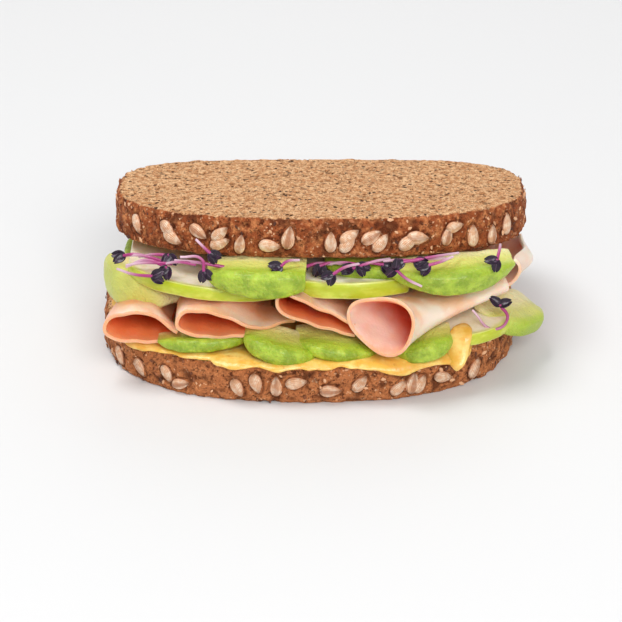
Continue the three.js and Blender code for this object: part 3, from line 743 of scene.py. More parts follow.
@dataclass(frozen=True)
class AvocadoFlesh:
    """Ripe avocado flesh, peeled and sliced: green under the peel, creamy yellow further in."""

    peeled: str = "#84A01A"
    peeled_pale: str = "#B3CC3A"
    green: str = "#A8C232"
    yellow: str = "#DADA70"
    cream: str = "#F0E8AE"

    def material(self) -> bpy.types.Material:
        """Makes the material. The mesh stores how far in from the peel each point lies.

        Returns:
            The finished material.
        """
        # The flesh is oily where the peel and the knife left it, so it shines in soft, broken spots.
        made = Recipe(
            "Avocado flesh, sliced", 0.42, Subsurface_Weight=0.15, Subsurface_Scale=0.0015,
            Coat_Weight=0.2, Coat_Roughness=0.15,
        )
        inward = made.add(Step.STORED, attribute_name="inward")
        inward = made.add(Step.TIMES_PLUS, made.grain(3.5, 3.0), 0.12, inward)
        flesh = made.cover(self.peeled, self.peeled_pale, made.grain(4.5, 3.0), (0.36, 0.68))
        flesh = made.cover(flesh, self.green, inward, (0.08, 0.3))
        flesh = made.cover(flesh, self.yellow, inward, (0.28, 0.62))
        flesh = made.cover(flesh, self.cream, inward, (0.62, 1.0))
        flesh = made.cover(flesh, self.yellow, made.grain(1.1, 3.0), (0.5, 0.75), 0.3)
        height = made.add(Step.TIMES_PLUS, made.grain(0.7, 3.0), 0.6, made.grain(2.4, 3.0))
        return made.finish(flesh, height, 0.7)


@dataclass(frozen=True)
class GreenApple:
    """A green apple, sliced across: pale juicy flesh with a thin shiny skin round it."""

    flesh: str = "#FFF5DC"
    flesh_warm: str = "#F4E6C0"
    under_skin: str = "#DDE07E"
    skin: str = "#B9C42A"
    skin_pale: str = "#D4DC58"

    def material(self) -> bpy.types.Material:
        """Makes the material. The mesh stores how far in from the skin each point lies, in mm.

        Returns:
            The finished material.
        """
        # Juice wets the cut and wax lies on the skin, so both are smooth and catch the light.
        made = Recipe("Green apple, sliced", 0.32, Subsurface_Weight=0.15, Subsurface_Scale=0.002)
        inward = made.add(Step.STORED, attribute_name="from_skin")
        flesh = made.cover(self.flesh, self.flesh_warm, made.grain(4.0, 3.0), (0.4, 0.7))
        flesh = made.cover(flesh, self.under_skin, inward, (3.0, 0.4))
        skin = made.cover(self.skin, self.skin_pale, made.grain(3.5, 3.0, (0.4, 0.4, 1.0)), (0.4, 0.7))
        return made.finish(made.cover(flesh, skin, inward, (0.5, 0.25)), made.grain(0.9, 3.0), 0.1)


@dataclass(frozen=True)
class RadishSprout:
    """Red radish sprouts, freshly cut: dark purple seed leaves on stems that pale from pink to white."""

    leaf: str = "#1E0C22"
    leaf_edge: str = "#42203F"
    vein: str = "#8C6A86"
    stem: str = "#A83A78"
    stem_pale: str = "#DDBBCB"

    def material(self) -> bpy.types.Material:
        """Makes the material. The mesh stores leaf or stem, and the way along each.

        Returns:
            The finished material.
        """
        # The leaves are turgid and waxy: almost black, with small sharp highlights.
        made = Recipe(
            "Radish sprout, cut", 0.38, Specular_IOR_Level=0.35, Coat_Weight=0.25, Coat_Roughness=0.1
        )
        along = made.add(Step.STORED, attribute_name="along")
        vein = made.add(Step.STORED, attribute_name="vein")
        stem = made.cover(self.stem_pale, self.stem, along, (0.1, 0.8))
        leaf = made.cover(self.leaf, self.leaf_edge, made.grain(1.4, 3.0), (0.5, 0.72))
        leaf = made.cover(leaf, self.vein, vein, (0.5, 1.0), 0.35)
        tone = made.cover(stem, leaf, made.add(Step.STORED, attribute_name="leaf"))
        return made.finish(tone, made.grain(0.6, 2.0), 0.08)


@dataclass(frozen=True)
class Ground:
    """The plain pale surface that the sandwich stands on."""

    tone: str = "#E1E1E1"

    def material(self) -> bpy.types.Material:
        """Returns the material."""
        # A matt floor: it takes soft shadows and mirrors nothing.
        return Recipe("Floor, matt and pale", 0.6, Specular_IOR_Level=0.2).finish(self.tone)


# ---- Bread ----


@dataclass
class SliceOutline:
    """The outline of a slice seen from above: a superellipse, rounder at the front than at the back."""

    length: float = 137.0
    front_depth: float = 54.5
    back_depth: float = 47.0
    front_power: float = 2.41
    back_power: float = 3.5
    depth_share: float = 1.0

    def shape(self, side: np.ndarray) -> tuple[np.ndarray, np.ndarray]:
        """Returns what differs between the front and the back of the outline.

        Args:
            side: Below 0 at the front.

        Returns:
            The power and the depth in mm at each place.
        """
        power = np.where(side < 0, self.front_power, self.back_power)
        depth = np.where(side < 0, self.front_depth, self.back_depth) * self.depth_share
        return power, depth

    def point(self, angle: np.ndarray, inset: np.ndarray | float = 0.0) -> np.ndarray:
        """Returns the outline's points.

        Args:
            angle: Angles in radians.
            inset: How far the points are pulled in, in mm.

        Returns:
            The points in mm, seen from above.
        """
        angle = np.atleast_1d(np.asarray(angle, dtype=float))
        c, s = np.cos(angle), np.sin(angle)
        power, depth = self.shape(s)
        reach = (np.abs(c) ** power + np.abs(s) ** power) ** (-1 / power)
        return np.stack([(self.length / 2 - inset) * reach * c, (depth - inset) * reach * s], axis=1)

    def normal(self, angle: float) -> np.ndarray:
        """Returns the outward direction at one angle.

        Args:
            angle: The angle in radians.

        Returns:
            The direction seen from above.
        """
        step = 0.01
        ahead, behind = self.point(angle + step)[0], self.point(angle - step)[0]
        outward = np.array([ahead[1] - behind[1], behind[0] - ahead[0]])
        return outward / np.linalg.norm(outward)

    def front_angle(self, x: float) -> float:
        """Returns the angle of the front point that lies x mm along the slice."""
        share = x / (self.length / 2)
        return math.atan2(-((1 - abs(share) ** self.front_power) ** (1 / self.front_power)), share)

    def depth_inside(self, points: np.ndarray) -> np.ndarray:
        """Returns how far inside the outline each point lies, in mm.

        Args:
            points: Places in mm, one row each.

        Returns:
            The depths in mm, below 0 outside.
        """
        power, depth = self.shape(points[:, 1])
        x, y = np.abs(points[:, 0]) / (self.length / 2), np.abs(points[:, 1]) / depth
        rho = np.maximum(1e-6, (x**power + y**power) ** (1 / power))
        slope = np.hypot((x / rho) ** (power - 1) / (self.length / 2), (y / rho) ** (power - 1) / depth)
        return (1 - rho) / slope


@dataclass
class BreadSlice:
    """One slice of seeded bread: its crumb and crust, and the kernels baked into the crust."""

    level: str
    seed: int
    front_kernels: list[Point]
    outline: SliceOutline = field(default_factory=SliceOutline)
    place: Matrix = field(default_factory=Matrix)
    thickness: float = 13.0
    voxel: float = 0.6
    crag: float = 0.75  # how far the crust's crags stand out
    pore_depth: float = 0.9
    kernel_room: tuple[float, float] = (7.6, 4.6)  # what a kernel takes up along and across in the crust
    kernel_length: float = 7.1
    kernel_width: float = 4.2
    kernel_height: float = 1.5
    kernel_sunk: float = 0.9
    bran_flakes: int = 340
    bran_sizes: tuple[float, float] = (0.35, 1.05)
    # Painted light: the share below paints this slice's crust paler, as if it were lit more.
    painted_crust_light: float = 0.0  # how far the crust's colour goes to its pale one, from 0 to 1
    scattered: int = 10  # kernels round the sides and the back

    def build(
        self, bread: bpy.types.Material, kernel: bpy.types.Material, bran: bpy.types.Material
    ) -> None:
        """Builds and dresses the slice, its kernels and its bran.

        Args:
            bread: The slice's material.
            kernel: The kernels' material.
            bran: The bran's material.
        """
        node = "bread_" + self.level
        spots = self.kernel_spots()
        slab = self.slab(node + "_dressed")
        self.roughen(slab, spots)
        move_mesh(slab, self.place)
        finish_piece(slab, bread, (node,), crease=180.0)
        browning = [(number * GOLDEN) % 1 for number in range(len(spots))]
        kernels = scatter(self.kernel(), spots, browning, "kernels_" + self.level)
        move_mesh(kernels, self.place)
        finish_piece(kernels, kernel, crease=80.0)
        flakes = self.bran("bran_" + self.level)
        move_mesh(flakes, self.place)
        finish_piece(flakes, bran, crease=40.0)

    def slab(self, name: str) -> bpy.types.Object:
        """Builds the plain slice and remeshes it finely enough for its pores.

        Args:
            name: The piece's name.

        Returns:
            The slice, lying on z = 0.
        """
        # Each ring's height as a share of the thickness, and how far it lies inside the outline in mm.
        levels = np.array([0, 0, 0, 0, 0.05, 0.16, 0.34, 0.52, 0.7, 0.86, 0.96, 1, 1, 1, 1])
        insets = np.array([28, 12, 3, 0.9, 0.4, 0, -0.06, -0.1, 0, 0.2, 0.55, 1.0, 3, 12, 28])
        rings = len(levels)

        def place(along: np.ndarray, around: np.ndarray) -> np.ndarray:
            """Places the slice's rings.

            Args:
                along: Share of the way from the first ring to the last.
                around: Share of the way round a ring.

            Returns:
                The points in mm, one row each.
            """
            ring = np.rint(along * (rings - 1)).astype(int)
            flat = self.outline.point(around * 2 * math.pi, insets[ring])
            return np.column_stack([flat, levels[ring] * self.thickness])

        slab = loft(name, 180, rings, place)
        modify(slab, "REMESH", mode="VOXEL", voxel_size=self.voxel * MM)
        return slab

    def roughen(self, slab: bpy.types.Object, spots: list[Matrix]) -> None:
        """Sinks pores into the cut faces and raises crags on the crust, but not beside a kernel.

        Args:
            slab: The plain slice.
            spots: Where its kernels lie.
        """
        points, normals = corners(slab) / MM, facing(slab)
        inside = self.outline.depth_inside(points)
        crumb = smooth((inside - 0.6) / 1.4) * smooth((np.abs(normals[:, 2]) - 0.5) / 0.3)
        narrowed = points * (1, 0.6, 1)  # the pores are wider from front to back than along the slice
        pores = np.maximum(pits(narrowed, 2.5, self.seed), 0.8 * pits(narrowed, 1.7, self.seed + 5))
        sunk = self.pore_depth * pores
        ring = self.round_kernels(points, spots)
        wavy = 0.22 * lumps(points, 11, self.seed) + 0.14 * lumps(points, 2.2, self.seed)
        crag = 1.0 * lumps(points, 4.6, self.seed) + 0.6 * lumps(points, 1.9, self.seed + 3)
        holes = pits(points, 3.0, self.seed + 9)
        moved = crumb * (wavy - sunk) + (1 - crumb) * (self.crag * crag - holes - 0.5 * ring)
        if self.place.translation.z == 0:  # nothing stands out below the slice that rests on the floor
            underside = normals[:, 2] < -0.7
            moved[underside] = np.minimum(0, moved[underside])
        points = points + normals * moved[:, None]
        points[:, 2] = np.clip(points[:, 2], 0, self.thickness + 0.1)
        set_corners(slab, points)
        record_values(slab, "depth", np.where(crumb > 0.02, np.maximum(inside, 0.0), 0.0))
        record_values(slab, "pore_shade", pores * crumb)
        record_values(slab, "painted_crust_light", np.full(len(points), self.painted_crust_light))
        record_values(slab, "shade", np.maximum(np.maximum(ring, holes), smooth(-1.6 * crag - 0.1)))

    def kernel(self) -> bpy.types.Object:
        """Builds one kernel along +X, bulging towards -Y: blunt at one end and pointed at the other.

        Returns:
            The kernel at the origin.
        """
        peak = (0.76**0.55) * (1.24**0.9)

        def place(along: np.ndarray, around: np.ndarray) -> np.ndarray:
            """Places the kernel's rings.

            Args:
                along: Share of the way from the first ring to the last.
                around: Share of the way round a ring.

            Returns:
                The points in mm, one row each.
            """
            t = np.sin((2 * along - 1) * math.pi / 2) * 0.995
            full = (1 + t) ** 0.55 * (1 - t) ** 0.9 / peak
            angle = around * 2 * math.pi
            across = np.cos(angle) * full
            out = np.maximum(0, np.sin(angle)) * full**0.6
            back = np.maximum(0, -np.sin(angle)) * full**0.6
            y = self.kernel_sunk * back - self.kernel_height * out * (0.9 + 0.1 * bump(across, 0.25))
            return np.column_stack([t * self.kernel_length / 2, y, across * self.kernel_width / 2])

        kernel = loft("kernel", 16, 11, place)
        points = corners(kernel) / MM
        t = points[:, 0] / (self.kernel_length / 2)
        full = np.maximum(0.05, (1 + t) ** 0.55 * np.maximum(0, 1 - t) ** 0.9 / peak)
        across = points[:, 2] / (self.kernel_width / 2) / full
        record_values(kernel, "along", (t + 1) / 2)
        record_values(kernel, "across", across)
        record_values(kernel, "rim", np.abs(across))
        return kernel

    def kernel_spot(self, angle: float, height: float, turn: float, size: float) -> Matrix:
        """Returns where a kernel lies, pressed into the crust and kept off the slice's edges.

        Args:
            angle: Where it lies round the outline, in radians.
            height: Its middle's height in mm.
            turn: Its turn in the crust, in degrees.
            size: Its size as a share of the model's.

        Returns:
            The placement, its shift in mm.
        """
        spot, normal = self.outline.point(angle)[0], self.outline.normal(angle)
        rise, run = abs(math.sin(math.radians(turn))), abs(math.cos(math.radians(turn)))
        half = size * (self.kernel_room[0] * rise + self.kernel_room[1] * run) / 2 + 0.5
        level = min(self.thickness - half - 1.2, max(half, height))
        heading = math.atan2(normal[1], normal[0]) + math.pi / 2
        return (
            Matrix.Translation((spot[0], spot[1], level))
            @ Matrix.Rotation(heading, 4, "Z")
            @ Matrix.Rotation(-math.radians(turn), 4, "Y")
            @ Matrix.Scale(size, 4)
        )

    def kernel_spots(self) -> list[Matrix]:
        """Returns each kernel's place: the front ones as listed, the others scattered round the rest.

        Returns:
            One placement for each kernel.
        """
        first, second = Draw(self.seed + 1), Draw(self.seed)
        spots = [
            self.kernel_spot(self.outline.front_angle(x), height, turn, mix(0.9, 1.1, first()))
            for x, height, turn in self.front_kernels
        ]
        for i in range(self.scattered):
            angle = math.radians(mix(4, 170, (i + 0.5) / self.scattered) + 3 * (second() - 0.5))
            height = mix(3.2, self.thickness - 3.2, (i * GOLDEN) % 1)
            turn = 180 * second()
            spots.append(self.kernel_spot(angle, height, turn, mix(0.82, 1.08, second())))
        return spots

    def round_kernels(self, points: np.ndarray, spots: list[Matrix]) -> np.ndarray:
        """Measures how close each point lies to a kernel's rim.

        Args:
            points: Places in mm, one row each.
            spots: The kernels' placements.

        Returns:
            1 at a rim, 0 further off.
        """
        close = np.zeros(len(points))
        for spot in spots:
            turned = np.array(spot.inverted())
            local = points @ turned[:3, :3].T + turned[:3, 3]
            reach = np.hypot(local[:, 0] / (self.kernel_length / 2), local[:, 2] / (self.kernel_width / 2))
            close = np.maximum(close, np.where(np.abs(local[:, 1]) < 3, bump(reach - 1.08, 0.11), 0))
        return close

    def bran(self, name: str) -> bpy.types.Object:
        """Builds the flakes of bran and crumb that stick out of the crust, each a copy of one model.

        Args:
            name: The piece's name.

        Returns:
            The joined flakes.
        """

        def place(along: np.ndarray, around: np.ndarray) -> np.ndarray:
            """Places a flake's rings.

            Args:
                along: Share of the way from the first ring to the last.
                around: Share of the way round a ring.

            Returns:
                The points of a flake about 2 mm long.
            """
            t, angle = 2 * along - 1, around * 2 * math.pi
            full = np.sqrt(np.maximum(0.15, 1 - t * t))
            return np.column_stack([t, 0.45 * full * np.sin(angle), 0.7 * full * np.cos(angle)])

        draw = Draw(self.seed + 2)
        spots, browning = [], []
        for _ in range(self.bran_flakes):
            angle, level = 2 * math.pi * draw(), mix(0.6, self.thickness - 0.5, draw())
            spot, normal = self.outline.point(angle)[0], self.outline.normal(angle)
            heading = math.atan2(normal[1], normal[0]) + math.pi / 2
            size = mix(self.bran_sizes[0], self.bran_sizes[1], draw() ** 2)
            turned = Matrix.Rotation(heading, 4, "Z") @ Matrix.Rotation(math.pi * draw(), 4, "Y")
            tilted = turned @ Matrix.Rotation(0.8 * (draw() - 0.5), 4, "Z")
            spots.append(Matrix.Translation((spot[0], spot[1], level)) @ tilted @ Matrix.Scale(size, 4))
            browning.append(draw())
        return scatter(loft("flake", 6, 3, place), spots, browning, name)


# ---- Sauce ----


@dataclass
class Sauce:
    """The layer of sauce on the lower slice, running a little way down the crust."""

    outline: SliceOutline = field(default_factory=SliceOutline)
    floor: float = 13.35
    thickness: float = 1.3
    inset: float = 1.3  # how far the sauce's edge lies inside the slice's edge between drips
    bend: float = 2.0  # the radius by which a drip bends down
    off_crust: float = 2.5  # how far the bend is pushed out, so that the drips clear the crust
    # Each drip's angle in degrees, reach in mm and width in degrees.
    drips: tuple[Point, ...] = (
        (219, 3.2, 12), (247, 3.6, 13), (268, 3.0, 12), (289, 3.2, 12), (309, 4.6, 11), (30, 2.4, 12),
        (78, 3.2, 12), (118, 3.8, 11), (294, 2.4, 4), (311, 1.6, 4), (233, 1.0, 5),
    )
    # The run over the apple: places along it in mm, and its half width and half depth at each.
    course: tuple[Point, ...] = (
        (50.5, -37, 20.6), (49.6, -41.5, 20.7), (48.8, -44.6, 19.4), (48.4, -45.6, 16),
        (48.0, -46.6, 13.6), (47.7, -48.6, 11.4), (47.6, -49.2, 9.2),
    )
    widths: tuple[float, ...] = (2.2, 3.4, 3.8, 3.3, 3.4, 2.6, 1.2)
    depths: tuple[float, ...] = (0.6, 0.9, 1.2, 1.3, 1.4, 1.3, 0.8)

    def reach(self, angle: np.ndarray) -> np.ndarray:
        """Returns how far the sauce reaches beyond the slice's edge.

        Args:
            angle: Angles round the slice in radians.

        Returns:
            The reaches in mm.
        """
        reach = 0.7 * np.sin(7 * angle + 0.6) * np.cos(3 * angle) - self.inset
        for centre, over, width in self.drips:
            away = (np.degrees(angle) - centre + 180) % 360 - 180
            reach = reach + over * bump(away, width)
        ring = np.column_stack([np.cos(angle), np.sin(angle), np.zeros_like(angle)])
        return reach + 1.1 * lumps(ring, 0.13, 4) + 0.6 * lumps(ring, 0.05, 8)

    def run(self) -> bpy.types.Object:
        """Builds the run of sauce that flows over the right apple slice and on down the crust.

        Returns:
            The run, a closed body of its own.
        """
        course = np.array(self.course)
        knots = np.linspace(0, 1, len(course))

        def place(along: np.ndarray, around: np.ndarray) -> np.ndarray:
            """Places the rings of the run along its course.

            Args:
                along: Share of the way from the first ring to the last.
                around: Share of the way round a ring.

            Returns:
                The points in mm, one row each.
            """
            share = smooth(along) * 0.4 + along * 0.6
            centre = np.column_stack([np.interp(share, knots, course[:, i]) for i in range(3)])
            angle = around * 2 * math.pi
            end = np.sqrt(np.maximum(0.02, 1 - np.abs(2 * share - 1) ** 6))
            side = np.interp(share, knots, self.widths) * end * np.cos(angle)
            out = np.interp(share, knots, self.depths) * end * np.sin(angle)
            fall = smooth((share - 0.15) / 0.35)
            return centre + np.column_stack([side + 0.2 * out, -out * fall - 0.2 * side, out * (1 - fall)])

        run = loft("sauce_run", 28, 26, place)
        modify(run, "SMOOTH", factor=0.5, iterations=4)
        return run

    def build(self, material: bpy.types.Material) -> None:
        """Builds and dresses the sauce.

        Args:
            material: The sauce.
        """
        # How far each ring lies behind the sauce's edge in mm, and its height as a share of half a layer.
        backs = np.array([34, 20, 9, 4, 1.6, 0.6, 0.15, 0, 0.15, 0.6, 1.6, 4, 9, 20, 34])
        shares = np.array([-1, -1, -1, -1, -1, -0.9, -0.55, 0, 0.55, 0.9, 1.1, 1, 1, 1, 1])
        rings = len(backs)

        def place(along: np.ndarray, around: np.ndarray) -> np.ndarray:
            """Places the rings of the layer, bent down where it passes the edge.

            Args:
                along: Share of the way from the first ring to the last.
                around: Share of the way round a ring.

            Returns:
                The points in mm, one row each.
            """
            ring = np.rint(along * (rings - 1)).astype(int)
            angle = around * 2 * math.pi
            lift = shares[ring] * self.thickness / 2
            run = self.reach(angle) - backs[ring]
            turn = np.clip(run / self.bend, 0, math.pi / 2)
            fall = np.maximum(0, run - self.bend * math.pi / 2)
            out = (self.bend + self.off_crust + lift) * np.sin(turn)
            flat = self.outline.point(angle, self.bend + np.maximum(0, -run) - out)
            level = self.floor + self.thickness / 2 - self.bend * (1 - np.cos(turn)) - fall
            return np.column_stack([flat, level + lift * np.cos(turn)])

        sauce = loft("sauce_dressed", 420, rings, place)
        points = corners(sauce) / MM
        ripples = 0.3 * lumps(points, 6, 2) + 0.15 * lumps(points, 2.5, 3)
        set_corners(sauce, points + facing(sauce) * ripples[:, None] * 0.8)
        sauce = join([sauce, self.run()], sauce.name)
        finish_piece(sauce, material, ("sauce",), crease=180.0)


# ---- Ham ----


@dataclass
class HamSlice:
    """What every thin slice of ham shares: its thickness, its walls and how it is dressed."""

    name: str = ""
    place: Point = (0, 0, 0)
    turn: float = 0
    depth: float = 80  # mm from lip to rear
    thickness: float = 1.1
    # How strongly the outside is painted in shade behind the lip.
    painted_outer_shade: float = 0.0
    columns: int = 96
    rows: int = 64
    crowding: float = 1.5  # the power by which the rows crowd towards the lip
    rim: float = 0.0  # mm of pale rim that the way from the lip starts with
    # Painted shade: the inner side is painted deep red by this way from the lip.
    deep_after: float = 34.0  # mm from the lip to where the inner side is deep red
    closes: bool = False  # whether the sheet's two sides meet in a seam

    def point(self, across: np.ndarray, along: np.ndarray) -> np.ndarray:
        """Returns the points of the sheet's middle in mm, across the slice and along it from the lip."""
        raise NotImplementedError

    def painted_inner_light(self, points: np.ndarray) -> np.ndarray:
        """Returns how strongly the inner side is painted with orange light and shade at each point, from 0
        to 1.
        """
        return np.ones(len(points))

    def build(self, material: bpy.types.Material) -> None:
        """Builds the slice with its walls and rounded rim, stores what the material reads, and dresses it.

        Args:
            material: The ham.
        """
        sheet = drape(self.name + "_dressed", self.columns, self.rows, self.point)
        if self.closes:
            merge(sheet)
        move_mesh(sheet, placement(self.place, (0, 0, self.turn)))
        middle, outward = corners(sheet), facing(sheet)
        tree = KDTree(len(middle))
        for i, point in enumerate(middle):
            tree.insert(point, i)
        tree.balance()
        modify(sheet, "SOLIDIFY", thickness=self.thickness * MM, offset=0.0, use_even_offset=True)
        modify(
            sheet, "BEVEL", width=0.4 * self.thickness * MM, segments=3, limit_method="ANGLE",
            angle_limit=math.radians(60), affect="EDGES",
        )
        points = corners(sheet)
        nearest = [tree.find(point)[1] for point in points]
        over = ((points - middle[nearest]) * outward[nearest]).sum(axis=1) / (self.thickness * MM)
        along = np.zeros(len(points))
        uvs = sheet.data.uv_layers.active.data
        for loop in sheet.data.loops:
            along[loop.vertex_index] = uvs[loop.index].uv.y
        from_lip = self.rim + along**self.crowding * self.depth
        # The inner side takes its painted light and shade colours as strongly as this slice's share says.
        record_values(sheet, "inner", smooth(0.5 - 1.2 * over) * self.painted_inner_light(points / MM))
        record_values(sheet, "from_lip", from_lip)
        # Painted shade on the outside, growing from 1 to 12 mm behind the lip.
        record_values(sheet, "painted_outer_shade", self.painted_outer_shade * smooth((from_lip - 1) / 11))
        # Painted shade: the inner side's share of deep red, rising with the way from the lip.
        record_values(sheet, "deep", smooth(from_lip / self.deep_after))
        finish_piece(sheet, material, (self.name,), crease=60.0)


@dataclass
class HamFold(HamSlice):
    """A slice folded over: the fold is on its left and its two leaves lie to the right."""

    painted_outer_shade: float = 0.75
    length: float = 30  # of the leaves at the lip, and rear_length at the rear
    rear_length: float = 30
    mouth: float = 7  # height of the fold at the lip, and rear at the rear
    rear: float = 3.5
    bow: float = 6
    lip_close: tuple[float, float] = (10, 24)  # mm from the fold between which the leaves close
    rear_close: tuple[float, float] = (10, 24)
    tilt: float = 0  # mm that the lip rises for each mm to the right
    level: float = 0  # mm that the rear is raised
    swing: float = 0  # mm that the rear lies further right
    sweep: float = 0  # mm that the lip's right end is drawn back
    lower_share: float = 1.0  # the lower leaf's length as a share of the upper one's
    leaf_gap: float = 2.5  # mm between the middles of the closed leaves

    def point(self, across: np.ndarray, along: np.ndarray) -> np.ndarray:
        """Returns the points of the sheet's middle, from the lower leaf's end round the fold.

        Args:
            across: Share of the way across the sheet.
            along: Share of the way along it from the lip.

        Returns:
            The points in mm, one row each.
        """
        s, v = 4 * across - 2, along**self.crowding
        to_rear = smooth(v / 0.2)
        mouth = mix(self.mouth, self.rear, smooth(v / 0.6))
        start = mix(self.lip_close[0], self.rear_close[0], to_rear)
        end = mix(self.lip_close[1], self.rear_close[1], to_rear)
        arc = np.clip(s, -1, 1) * math.pi / 2
        leaf = np.clip(np.abs(s) - 1, 0, 1)
        reach = mix(self.length, self.rear_length, to_rear) * np.where(s < 0, self.lower_share, 1.0)
        x = np.where(np.abs(s) < 1, self.bow * (1 - np.cos(arc)), mix(self.bow, reach, leaf))
        closed = mix(mouth, np.minimum(mouth, self.leaf_gap), smooth((x - start) / (end - start)))
        z = np.where(np.abs(s) < 1, mouth / 2 * (1 + np.sin(arc)), np.where(s < 0, 0.0, closed))
        wave = 0.3 * np.sin(0.31 * x + 5 * v + self.length) + 0.18 * np.sin(0.8 * x + 9 * v)
        lip = 0.8 * np.sin(0.27 * x + 2 * s) * (1 - v)
        lean = mix(self.tilt * x, self.level, smooth(v / 0.5))
        back = self.sweep * smooth((x - 0.6 * self.length) / (0.4 * self.length)) * (1 - v)
        points = np.column_stack([x + self.swing * v, v * self.depth + lip + back, z + lean + wave])
        uneven, wavy = 0.5 * lumps(points, 7, self.length), 0.35 * lumps(points, 9, 3)
        return points + np.column_stack([0 * x, uneven, wavy])


@dataclass
class HamRoll(HamSlice):
    """The rolled slice with the round mouth: its axis bends from the lip to the closed far end."""

    name: str = "ham_4"
    depth: float = 48
    deep_after: float = 5.0
    closes: bool = True
    lip: Point = (23.4, -53, 27.6)
    bend: Point = (30, -37, 23)
    end: Point = (63, -25, 30)
    lip_size: tuple[float, float] = (11.5, 9.7)  # half width and half height
    end_size: tuple[float, float] = (6, 3)
    corner: float = 0.9  # mm by which the mouth is pulled out at three corners

    def point(self, across: np.ndarray, along: np.ndarray) -> np.ndarray:
        """Returns the points of the wall's middle: round the axis, then along it.

        Args:
            across: Share of the way across the sheet.
            along: Share of the way along it from the lip.

        Returns:
            The points in mm, one row each.
        """
        v = (along**self.crowding)[:, None]
        lip, bend, end = (np.array(p) for p in (self.lip, self.bend, self.end))
        centre = (1 - v) ** 2 * lip + 2 * v * (1 - v) * bend + v**2 * end
        heading = 2 * (1 - v) * (bend - lip) + 2 * v * (end - bend)
        side = np.column_stack([heading[:, 1], -heading[:, 0], 0 * heading[:, 0]])
        side /= np.linalg.norm(side, axis=1)[:, None]
        angle, v = -across * 2 * math.pi, v[:, 0]
        dent = self.corner * np.cos(3 * angle - 2.36) * (1 - v) - self.thickness / 2
        wide = mix(self.lip_size[0], self.end_size[0], v**1.3) + dent
        tall = mix(self.end_size[1], self.lip_size[1], (1 - v) ** 1.7) + dent
        up = np.maximum(tall, 1.0) * np.sin(angle)
        points = centre + side * (wide * np.cos(angle))[:, None]
        points = points + np.column_stack([0 * up, 0.14 * up, up])
        return points + np.column_stack([0 * up, 0.4 * lumps(points, 6, 5), 0.25 * lumps(points, 7, 6)])

    def painted_inner_light(self, points: np.ndarray) -> np.ndarray:
        """Returns the inner side's painted light: the upper half of the mouth is painted in orange light
        and shade, the lower half and the far end stay pale as if lit.
        """
        mouth = smooth((points[:, 2] + 0.8 * (points[:, 0] - 23) - 21) / 11)
        return mix(0.12, 1.0, mouth * (1 - smooth((points[:, 0] - 48) / 10)))


@dataclass
class HamCurl(HamSlice):
    """The slice that lies under the filling and curls up past its right end."""

    name: str = "ham_5"
    depth: float = 46
    columns: int = 60
    rows: int = 40
    rim: float = 4.0
    start: float = 50
    floor: float = 28
    reach: float = 13
    radius: float = 5.4
    sweep: float = 140  # degrees that the edge curls up
    front: float = -25
    flare: float = 6  # mm that the curl stands out to the right behind its lip
    lean: float = 3  # mm that the rear lies further left
    sink: float = 5.5  # mm that the rear lies lower

    def point(self, across: np.ndarray, along: np.ndarray) -> np.ndarray:
        """Returns the points of the sheet's middle, flat first and then up the curl.

        Args:
            across: Share of the way across the sheet.
            along: Share of the way along it from the lip.

        Returns:
            The points in mm, one row each.
        """
        v, across = along**self.crowding, 1 - across
        flat = np.clip(across / 0.5, 0, 1)
        turned = self.sweep * (1 - 0.4 * smooth((v - 0.55) / 0.45))
        angle = np.radians(turned) * np.clip((across - 0.5) / 0.5, 0, 1)
        x = self.start + self.reach * flat + self.radius * np.sin(angle)
        z = self.floor + self.radius * (1 - np.cos(angle))
        sway = 0.6 * np.sin(0.4 * z + 5 * v)
        flared = self.flare * smooth(angle / math.pi * 2) * smooth(v / 0.35)
        x = x + sway + flared - self.lean * v
        z = z + 0.4 * sway - self.sink * v
        return np.column_stack([x, self.front + self.depth * v, z])

    def painted_inner_light(self, points: np.ndarray) -> np.ndarray:
        """Returns the inner side's painted light: thin and lit from both sides, the curl is painted pale.
        """
        return np.full(len(points), 0.12)


# ---- Avocado and apple ----


